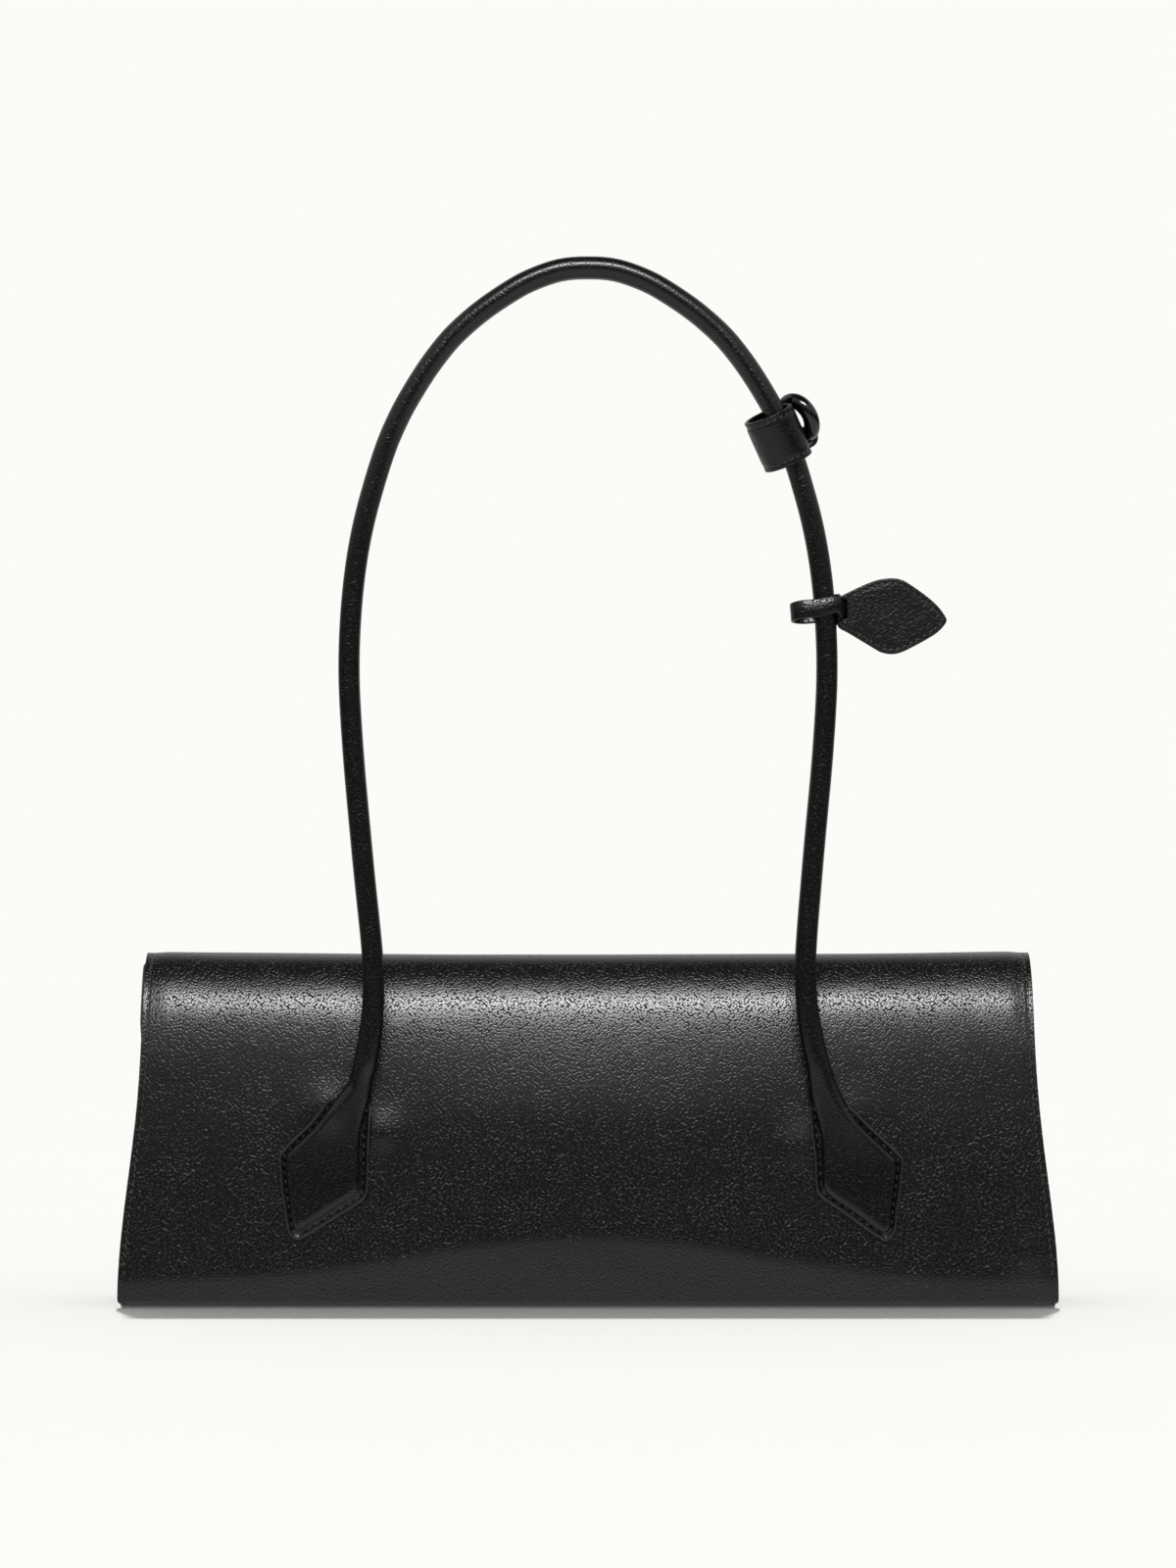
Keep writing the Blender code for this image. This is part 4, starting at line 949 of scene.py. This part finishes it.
def patch_stand(x, height, side):
    """How far the leather of a patch stands in front of the plain back panel."""
    skin_y = back_depth(x, height)
    # The padding's crown climbs to the front of the roll, and the sewn belt to its sides.
    crown_low = patch_crown + 0.35 * MM * ease(height, 30 * MM, 50 * MM)
    roll_front = skin_y - handle_depth + roll_radius(max(height, pivot_height))
    climb = min(1.0, max(0.0, (height - 48 * MM) / (43 * MM)))
    crown = crown_low + (roll_front - crown_low) * (0.55 * climb + 0.45 * ease(climb, 0, 1))
    belt_low = patch_leather + 0.1 * MM
    belt = belt_low + (skin_y - handle_depth - belt_low) * ease(height, 66 * MM, 90 * MM)
    lifted = ease(height, 82 * MM, 87 * MM)
    stand = belt_low + (belt - belt_low) * lifted
    from_edge = nearest(edge_chains[side], x, height)[0]
    stand -= edge_sink * (1 - ease(from_edge, 0.0, 0.6 * MM)) * (1 - lifted)
    sewn = 1 - ease(height, 72 * MM, 80 * MM)
    stand -= groove_depth * dent(from_edge, groove_in, 0.5 * MM) * sewn
    stand += welt_height * dent(from_edge, welt_in, 0.35 * MM) * sewn
    padded_span = span_at(foot_chains[side], height)
    if padded_span and padded_span[0] < x < padded_span[1]:
        distance, shoulder = nearest(foot_chains[side], x, height)
        rise = min(1.0, distance / shoulder)
        wall = max(ease(distance, 0.0, 0.8 * MM), lifted)
        foot = belt_low + (belt - belt_low) * wall
        stand = max(stand, foot + (crown - belt) * math.sqrt(max(0.0, 1 - (1 - rise) ** 2)))
    return stand


front_count = 72
side_count = 8
front_shares = []
for step in range(front_count + 1):
    front_shares.append(0.5 * (2 * step / front_count - 1) - 0.5 * math.cos(math.pi * step / front_count))
back_shares = [math.cos(math.pi * step / (2 * side_count)) for step in range(1, 2 * side_count)]


def bulge(share):
    """Depth of a round section of radius 1 at a share of its half width."""
    return math.sqrt(max(0.0, 1 - share * share))


def closed_section(front_points, back_points):
    """Section from the middle of its back round its front, and back to the middle."""
    return [*back_points[side_count - 1:], *front_points, *back_points[:side_count]]


def patch_row(side, height):
    """Section of a patch at a level; near the top its back rounds into the roll's."""
    low, high = span_at(edge_chains[side], height)
    middle = (low + high) / 2
    half = (high - low) / 2
    rolled = ease(height, 84 * MM, 91 * MM)
    front_points = []
    for share in front_shares:
        x = middle - side * share * half
        front_points.append(Vector((x, back_depth(x, height) - patch_stand(x, height, side), height)))
    back_points = []
    for share in back_shares:
        x = middle - side * share * half
        flat = back_depth(x, height) - 0.2 * MM
        round_back = handle_depth + roll_radius(max(height, pivot_height)) * bulge(share)
        back_points.append(Vector((x, flat + (round_back - flat) * rolled, height)))
    return closed_section(front_points, back_points)


def roll_row(point, way):
    """Section of the roll, square to its way."""
    radius = roll_radius(point.z)
    sideways = Vector((way.z, 0, -way.x))
    halves = []
    for facing, shares in ((-1, front_shares), (1, back_shares)):
        halves.append([point + radius * (sideways * share + Vector((0, facing * bulge(share), 0)))
                       for share in shares])
    return closed_section(*halves)


patch_levels = []
height = 26.1 * MM
while height < 91 * MM:
    patch_levels.append(height)
    height += 0.25 * MM if height < 31 * MM else 0.5 * MM
roll_sections = [patch_row(-1, height) for height in patch_levels]
for index in range(1, len(route) - 1):
    point = route[index]
    if point.z < 91.5 * MM:
        continue
    way = (route[index + 1] - route[index - 1]).normalized()
    upright = Vector((0, 0, 1 if index < len(route) / 2 else -1))
    way = upright.lerp(way, ease(point.z, 91 * MM, 106 * MM)).normalized()
    roll_sections.append(roll_row(point, way))
roll_sections += [patch_row(1, height) for height in patch_levels[::-1]]
front_middle = side_count + front_count // 2
along_roll = running_lengths([section[front_middle] for section in roll_sections])
around_roll = [running_lengths(section) for section in roll_sections]


def roll_place(column, row):
    return roll_sections[row][column]


def roll_chart(column, row):
    return around_roll[row][column] - around_roll[row][front_middle], along_roll[row]


# Rolled calf: the grain is drawn into fine creases across the roll.
rolled_calf = leather("rolled_calf", "0b0b0b", "101010", 0.7, 0.04, 0.24, 66, 1.8, strip=True, shine=0.38)
handle = net(
    "handle_leather", range(len(roll_sections[0])), range(len(roll_sections)), roll_place, [rolled_calf],
    unwrap=roll_chart,
)
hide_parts("handle_cover", "left_patch", "right_patch")
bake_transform(handle)

# Patch seams: waxed thread, about eight stitches to the inch, sunk 2 mm inside the edge.
seam_top = 78 * MM
patch_pitch = 3.05 * MM
patch_seams = []
awl_cuts = []
for side in (-1, 1):
    outline = edge_chains[side]
    seam = []
    for last, point, following in zip(outline, outline[1:], outline[2:]):
        run = (following - last).to_2d().normalized()
        inward = Vector((run.y, -run.x)) * -side
        if point.y < seam_top:
            seam.append(point.to_2d() + inward * 1.8 * MM)
    travelled = 0.0
    for last, point in zip(seam, seam[1:]):
        travelled += (point - last).length
        if travelled < patch_pitch:
            continue
        travelled = 0.0
        place = Vector((point.x, back_depth(*point) - patch_stand(*point, side), point.y))
        along = Vector((point.x - last.x, 0, point.y - last.y)).normalized()
        square = Vector((-along.z, 0, along.x))
        patch_seams.append((place, along + square * 0.35, Vector((0, -1, 0))))
        awl_cuts.append((place + along * patch_pitch / 2, along + square * 1.2, Vector((0, -1, 0))))
patch_stitches = add_stitches("patch_stitches", patch_seams, 1.7 * MM, 0.55 * MM, 0.1)
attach(patch_stitches, "body")
# Awl cuts: near-black marks between the stitches, painted shade standing in for the shadow inside each awl
# cut.
awl_cut_painted_shade = leather("awl_cut_painted_shade", "010101", "020202", 0.3, 0.02, 0.9, shine=0.05)
awl_shade_marks = add_stitches("patch_awl_cut_shades", awl_cuts, 1.35 * MM, 0.62 * MM, 0.0, awl_cut_painted_shade)
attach(awl_shade_marks, "body")

# Patch edges: a bead of edge paint along the cut rim of each patch, brushed on in coats.
# Its paint is greyer than the leather: a painted highlight along the rim, so the rim reads as a pale line.
highlight_edge_paint = leather("edge_paint_painted_highlight", "2b2b2a", "363635", 0.6, 0.02, 0.34)
bead_radius = 0.42 * MM
for side, side_name in ((-1, "left"), (1, "right")):
    rim = [point for point in edge_chains[side] if point.y < seam_top]
    last_row = len(rim) - 1

    def bead_place(column, row):
        point = rim[row]
        run = (rim[min(row + 1, last_row)] - rim[max(row - 1, 0)]).to_2d().normalized()
        outwards = Vector((-run.y, run.x)) * -side
        angle = math.tau * column / 8
        radius = bead_radius * (0.2 + 0.8 * ease(min(row, last_row - row), 0, 6))
        reach = radius * math.cos(angle) - 0.3 * MM
        front = back_depth(point.x, point.y) - 1.12 * MM - radius * math.sin(angle)
        return Vector((point.x + outwards.x * reach, front, point.y + outwards.y * reach))

    bead = net(f"{side_name}_patch_edge", range(9), range(len(rim)), bead_place, [highlight_edge_paint])
    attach(bead, "body")

# Felt pads: needled wool felt under each patch, cut back from the seam.
# Its wool fibres are fine and lie every way, so it looks soft, pale and without gloss.
wool_felt, tree, where = start_material("wool_felt", {"Roughness": 0.95, "Sheen Weight": 0.3})
hairs = add_node(tree, "TexNoise", {"Vector": where, "Scale": 1.4 / MM, "Detail": 4.0, "Distortion": 1.0})
drive(tree, hairs.outputs["Fac"], tones=("a5a198", "cbc8c0"), relief=(0.8, 0.15 * MM))
for side_name in ("left", "right"):
    bm = bmesh.new()
    bm.from_mesh(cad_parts[f"{side_name}_patch_pad"].data)
    bmesh.ops.remove_doubles(bm, verts=bm.verts, dist=0.01 * MM)
    bmesh.ops.subdivide_edges(bm, edges=bm.edges[:], cuts=1, use_grid_fill=True)
    bmesh.ops.smooth_vert(bm, verts=bm.verts, factor=0.3, use_axis_x=True, use_axis_y=True, use_axis_z=True)
    pad = piece(f"{side_name}_felt_pad", bm, [wool_felt])
    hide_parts(f"{side_name}_patch_pad")
    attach(pad, "body")

# Cord: cotton piping cord inside the roll, laid in three strands.
# Its strands lie 2.6 mm apart and show as slanting ridges, pale and dull.
piping_cord, tree, where = start_material("cotton_piping_cord", {"Roughness": 0.9})
strands = add_node(tree, "TexWave", {
    "Vector": where, "Scale": 0.12 / MM, "Distortion": 2.0,
}, bands_direction="DIAGONAL")
drive(tree, strands.outputs["Fac"], tones=("b8ab92", "d9cfba"), relief=(0.9, 0.3 * MM))
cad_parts["handle_core"].material_slots[0].material = piping_cord

# Keeper: a wide band of calf lined with calf, closed to a ring that slides on the roll. It is
# sewn along both rims, where the thread pulls a shallow groove.
# Strap calf: the handle's leather split thinner, so its pebbles are pressed a little flatter.
strap_calf = leather("strap_calf", "0b0b0c", "111112", 0.8, 0.06, 0.24, 30, shine=0.3)


def axes_at(place, out, up):
    """Axes at a place, with X outwards and Z up the roll; Y is the bag's own."""
    placed = Matrix((out, up.cross(out), up)).transposed().to_4x4()
    placed.translation = place
    return placed


keeper_out = Vector((0.9086, 0, 0.4177)).normalized()
keeper_up = Vector((-0.4177, 0, 0.9086)).normalized()
keeper_frame = axes_at(Vector((73.28, -34.27, 325.2)) * MM, keeper_out, keeper_up)
keeper_frame @= Matrix.Translation((-2.7 * MM, -0.1 * MM, 0))
keeper_frame @= Matrix.Rotation(math.radians(0.5), 4, "Y") @ Matrix.Rotation(math.radians(13), 4, "X")
keeper_half = 10 * MM
keeper_inner = 8.0 * MM
keeper_radius = 9.4 * MM
keeper_seam = 8.0 * MM
keeper_turns = 21
bm = bmesh.new()
section = []
for x, z in ((keeper_inner, -1), (keeper_radius, -1), (keeper_radius, 1), (keeper_inner, 1)):
    section.append(bm.verts.new((x, 0, z * keeper_half)))
for start, end in zip(section, section[1:] + section[:1]):
    bm.edges.new((start, end))
bmesh.ops.bevel(bm, geom=section, affect="VERTICES", offset=0.45 * MM, segments=4, profile=0.5, material=-1)
long_edges = [edge for edge in bm.edges if edge.calc_length() > keeper_half]
bmesh.ops.subdivide_edges(bm, edges=long_edges, cuts=27)


def spin_round(bm, axis, steps):
    """Sweep a section once round the origin and close it."""
    bmesh.ops.spin(
        bm, geom=[*bm.verts, *bm.edges], cent=(0, 0, 0), axis=axis, angle=math.tau, steps=steps,
        use_merge=True,
    )


spin_round(bm, (0, 0, 1), 84)
for vert in bm.verts:
    rise = vert.co.z / keeper_half
    turn = math.atan2(vert.co.y, vert.co.x)
    radial = vert.co.to_2d().length
    if radial > keeper_radius - 0.5 * MM:
        radial -= 0.4 * MM * dent(abs(vert.co.z), 7.9 * MM, 0.5 * MM)
        radial += 0.1 * MM * noise.noise(Vector((math.cos(turn) * 3, math.sin(turn) * 3, vert.co.z * 160)))
    radial *= 1 + 0.008 * rise + 0.012 * math.cos(2 * turn) + 0.012 * (1 - rise * rise)
    vert.co.x = math.cos(turn) * radial
    vert.co.y = math.sin(turn) * radial
bmesh.ops.transform(bm, matrix=keeper_frame, verts=bm.verts)
bmesh.ops.recalc_face_normals(bm, faces=bm.faces)
keeper = piece("keeper_strap", bm, [strap_calf])
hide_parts("keeper_band")
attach(keeper, "keeper")
keeper_seams = []
for rim in (-1, 1):
    for index in range(keeper_turns):
        turn = math.tau * index / keeper_turns
        outward = Vector((math.cos(turn), math.sin(turn), 0))
        place = keeper_frame @ (outward * (keeper_radius - 0.1 * MM) + Vector((0, 0, rim * keeper_seam)))
        along = keeper_frame.to_3x3() @ Vector((-math.sin(turn), math.cos(turn), 0.22))
        keeper_seams.append((place, along, keeper_frame.to_3x3() @ outward))
keeper_stitches = add_stitches("keeper_stitches", keeper_seams, 1.9 * MM, 0.55 * MM, 0.4)
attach(keeper_stitches, "keeper")

# Ring: a cast brass ring under black lacquer, baked and polished; the lacquer pools
# and thins a little, so its tone and gloss drift.
black_lacquer, tree, where = start_material("black_lacquered_brass", {})
drawn = add_node(tree, "Mapping", {"Vector": where, "Scale": (1.0, 1.0, 5.0), "Rotation": (0.4, 0.5, 0)})
streaks = add_node(tree, "TexNoise", {"Vector": drawn.outputs[0], "Scale": 0.13 / MM, "Detail": 3.0})
scuffs = add_node(tree, "TexNoise", {"Vector": where, "Scale": 0.9 / MM, "Detail": 2.0})
drive(tree, streaks.outputs["Fac"], tones=("050505", "120f0e"), dullness=(0.1, 0.2))
drive(tree, scuffs.outputs["Fac"], relief=(0.15, 0.02 * MM))
ring_middle = 7.0 * MM
ring_reach = 12.25 * MM
ring_turned = keeper_frame @ Matrix.Rotation(math.radians(34), 4, "Z")
ring_centre = ring_turned @ Matrix.Translation((ring_reach, 0, 2.5 * MM))
ring_section = Matrix.Translation((0, ring_middle, 0)) @ Matrix.Diagonal((2.95, 3.0, 1, 1))
bm = bmesh.new()
bmesh.ops.create_circle(bm, segments=32, radius=MM, matrix=ring_section)
spin_round(bm, (1, 0, 0), 72)
bmesh.ops.transform(bm, matrix=ring_centre, verts=bm.verts)
bmesh.ops.recalc_face_normals(bm, faces=bm.faces)
ring = piece("lacquered_ring", bm, [black_lacquer])
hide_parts("keeper_ring")
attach(ring, "ring")

# Ring loop: a narrow strap of the same calf, folded round the ring. Its two ends lie flat on
# the band and are held in the band's seam; its cut edges are painted.
loop_foot = ring_turned @ Matrix.Translation((ring_reach, 0, -5.1 * MM))
loop_inner = 3.1 * MM
loop_leg = -2.35 * MM
loop_width = 4.5 * MM
loop_path = [(loop_leg, loop_inner), (loop_leg / 2, loop_inner)]
for step in range(17):
    angle = math.pi / 2 - math.pi * step / 16
    loop_path.append((loop_inner * math.cos(angle), loop_inner * math.sin(angle)))
loop_path += [(loop_leg / 2, -loop_inner), (loop_leg, -loop_inner)]
loop_shares = [step / 8 - 0.5 for step in range(9)]


def ring_loop_place(share, point):
    out, up = point
    return loop_foot @ Vector((out, share * loop_width, up))


ring_strap = net("ring_strap", loop_shares, loop_path, ring_loop_place, [strap_calf, edge_paint],
                 loop_foot @ Vector((-1 * MM, 0, 0)))
settle(ring_strap, 1.0 * MM, offset=1.0, rounding=0.25 * MM, rim=1)
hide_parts("ring_loop")
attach(ring_strap, "keeper")

# Toggle loop: a strap of thin calf round the roll; it runs through the leaf's slit,
# which pinches its middle, so its two edges curl out beside the leaf.
toggle_out = Vector((0.9974, 0, 0.0714)).normalized()
toggle_up = Vector((-0.0714, 0, 0.9974)).normalized()
toggle_roll = axes_at(Vector((88.07, -34.27, 259.8)) * MM, toggle_out, toggle_up)
strap_frame = toggle_roll @ Matrix.Rotation(math.radians(-9), 4, "X") @ Matrix.Translation((-2.2 * MM, 0, 0))
strap_radius = 5.45 * MM
strap_straight = 4.6 * MM
strap_width = 6.8 * MM
strap_path = []
for way in (1, -1):
    for step in range(12):
        strap_path.append((way * strap_straight * (step / 6 - 1), -way * strap_radius))
    for step in range(20):
        angle = math.radians(9 * step - 90 * way)
        x = way * strap_straight + strap_radius * math.cos(angle)
        strap_path.append((x, strap_radius * math.sin(angle)))
strap_shares = [step / 7 - 1 for step in range(15)]


def toggle_strap_place(share, point):
    x, y = point
    pinched = ease(x, strap_straight + 1.5 * MM, strap_straight + strap_radius)
    half = strap_width * (1 + 0.3 * pinched) / 2
    curled = ease(x, -1 * MM, strap_straight + 0.6 * strap_radius)
    x -= pinched * MM * (0.5 + 1.3 * share * share)
    y *= 1 - 0.1 * share * share * (1 + curled)
    return strap_frame @ Vector((x, y, share * half - 1.9 * MM * curled * y / strap_radius))


toggle_strap = net("toggle_strap", strap_shares, [*strap_path, strap_path[0]], toggle_strap_place,
                   [strap_calf, edge_paint], strap_frame.translation)
settle(toggle_strap, 1.1 * MM, offset=0.0, rounding=0.3 * MM, rim=1)
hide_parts("leaf_loop")
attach(toggle_strap, "toggle")

# Leaf: two leathers cut to one outline, glued back to back, sewn all round and painted at the
# edge. The toggle's strap runs through a slit near its blunt end.
leaf_points = (
    (95.1, 265.7), (100.5, 268.3), (104.9, 270.2), (108.4, 271.3), (112.9, 271.8), (116.4, 271.3),
    (119.5, 269.7), (124.8, 266.0), (128.8, 262.7), (131.4, 259.8), (133.4, 256.4), (132.3, 254.0),
    (129.7, 251.4), (126.1, 249.1), (121.7, 246.7), (116.8, 244.3), (113.0, 243.5), (109.3, 244.1),
    (107.1, 245.2), (101.3, 248.7), (96.1, 251.8), (93.8, 253.0), (92.7, 255.1), (92.7, 263.5),
)
leaf_points = [Vector((x, 0, z)) * MM for x, z in [*leaf_points, leaf_points[0]]]
leaf_outline = smooth_curve(leaf_points, 0.9 * MM)[:-1]
leaf_count = len(leaf_outline)
leaf_centre = Vector((112.5, 0, 257.5)) * MM
leaf_ways = []
leaf_normals = []
for index, point in enumerate(leaf_outline):
    way = (leaf_outline[(index + 1) % leaf_count] - leaf_outline[index - 1]).normalized()
    inward = Vector((way.z, 0, -way.x))
    leaf_ways.append(way)
    leaf_normals.append(inward if inward.dot(leaf_centre - point) > 0 else -inward)
# Rings of a face from its glued middle over the edge to its crown: distance inside the outline
# (none at the centre) and distance from the glue line, in millimetres.
leaf_rings = [
    (None, 0.02), (8.0, 0.02), (0.0, 0.02), (0.0, 0.6), (0.12, 0.95), (0.4, 1.12), (0.9, 1.16),
    (1.3, 1.12), (1.7, 1.04), (2.1, 1.1), (2.6, 1.17), (3.3, 1.21), (4.0, 1.24),
]
leaf_rings += [(4.0 + 13 * step / 14, 1.26) for step in range(1, 14)] + [(None, 1.26)]


def leaf_ring_point(index, inset):
    """Point inside the outline; past 2.1 mm the rings close in on the centre."""
    if inset is None:
        return leaf_centre.copy()
    near = leaf_outline[index] + leaf_normals[index] * min(inset, 2.1) * MM
    return near.lerp(leaf_centre, max(0.0, inset - 2.1) / 15)


# The leaf is cut from the hide's coarser flank: its pebbles are larger and duller.
flank_calf = leather("flank_calf", "0a0a0a", "131313", 0.85, 0.085, 0.33, 50, shine=0.3)
slit_out = Vector((0.9995, 0, 0.0313))
slit_up = Vector((-0.0313, 0, 0.9995))
slit_frame = axes_at(Vector((94.95, -34.27, 260.35)) * MM, slit_out, slit_up)
bm = bmesh.new()
bmesh.ops.create_cube(bm, size=1)
bmesh.ops.scale(bm, vec=Vector((2.5, 8, 7.6)) * MM, verts=bm.verts)
bmesh.ops.transform(bm, matrix=slit_frame, verts=bm.verts)
slit = piece("leaf_slit", bm, [])
leaf_seams = []
for side, name in ((-1, "leaf_back"), (1, "leaf_front")):

    def leaf_place(index, ring):
        inset, depth = ring
        point = leaf_ring_point(index % leaf_count, inset)
        if depth > 0.6 and (inset is None or inset >= 3):
            depth += 0.3 * noise.noise(point * 90 + Vector((0, side * 9, 0)))
        point.y = handle_depth + side * depth * MM
        return point

    leaf = net(f"{name}_leather", range(leaf_count + 1), leaf_rings, leaf_place, [flank_calf])
    cut = leaf.modifiers.new("slit", "BOOLEAN")
    cut.operation = "DIFFERENCE"
    cut.object = slit
    cut.solver = "EXACT"
    settle(leaf)
    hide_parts(f"{name}_face")
    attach(leaf, "leaf")
    travelled = 0.0
    for index in range(leaf_count):
        travelled += (leaf_outline[index] - leaf_outline[index - 1]).length
        place = leaf_ring_point(index, 1.75)
        if travelled < 2.6 * MM or place.x < 99 * MM:
            continue
        travelled = 0.0
        place.y = handle_depth + side * 1.02 * MM
        leaf_seams.append((place, leaf_ways[index] + leaf_normals[index] * 0.25, Vector((0, side, 0))))
bpy.data.objects.remove(slit, do_unlink=True)
leaf_stitches = add_stitches("leaf_stitches", leaf_seams, 1.9 * MM, 0.5 * MM, 0.2)
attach(leaf_stitches, "leaf")

# Gusset tab: the left gusset's top edge, folded double and stitched; it shows as a dark
# sliver behind the back hide's upper left edge.
tab_low = 99 * MM
tab_high = 128.6 * MM
tab_width = 7 * MM
tab_heights = [tab_low + (tab_high - tab_low) * step / 24 for step in range(25)]
tab_shares = [1 - step / 6 for step in range(7)]


def tab_place(share, height):
    closing = ease(height, tab_high - 1.4 * MM, tab_high + 0.3 * MM)
    closing += 1 - ease(height, tab_low - 1 * MM, tab_low + 9 * MM)
    out = half_width(height) + 0.75 * MM * (1 - min(1.0, closing))
    return Vector((tab_width * share - out, arch(back_turn(height), 1.3 * MM).y, height))


tab = net("gusset_tab", tab_shares, tab_heights, tab_place, [smooth_calf, edge_paint],
          Vector((-160, 0, 110)) * MM)
settle(tab, 1.6 * MM, rounding=0.4 * MM, rim=1)
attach(tab, "body")

# Shade: only the bag's walls stand in the sweep light's way. The handle's shadow in it is too
# soft to see.
shade_group = bpy.data.collections.new("sweep_shade")
for item in (hide, front, base):
    shade_group.objects.link(item)
top_light.light_linking.blocker_collection = shade_group
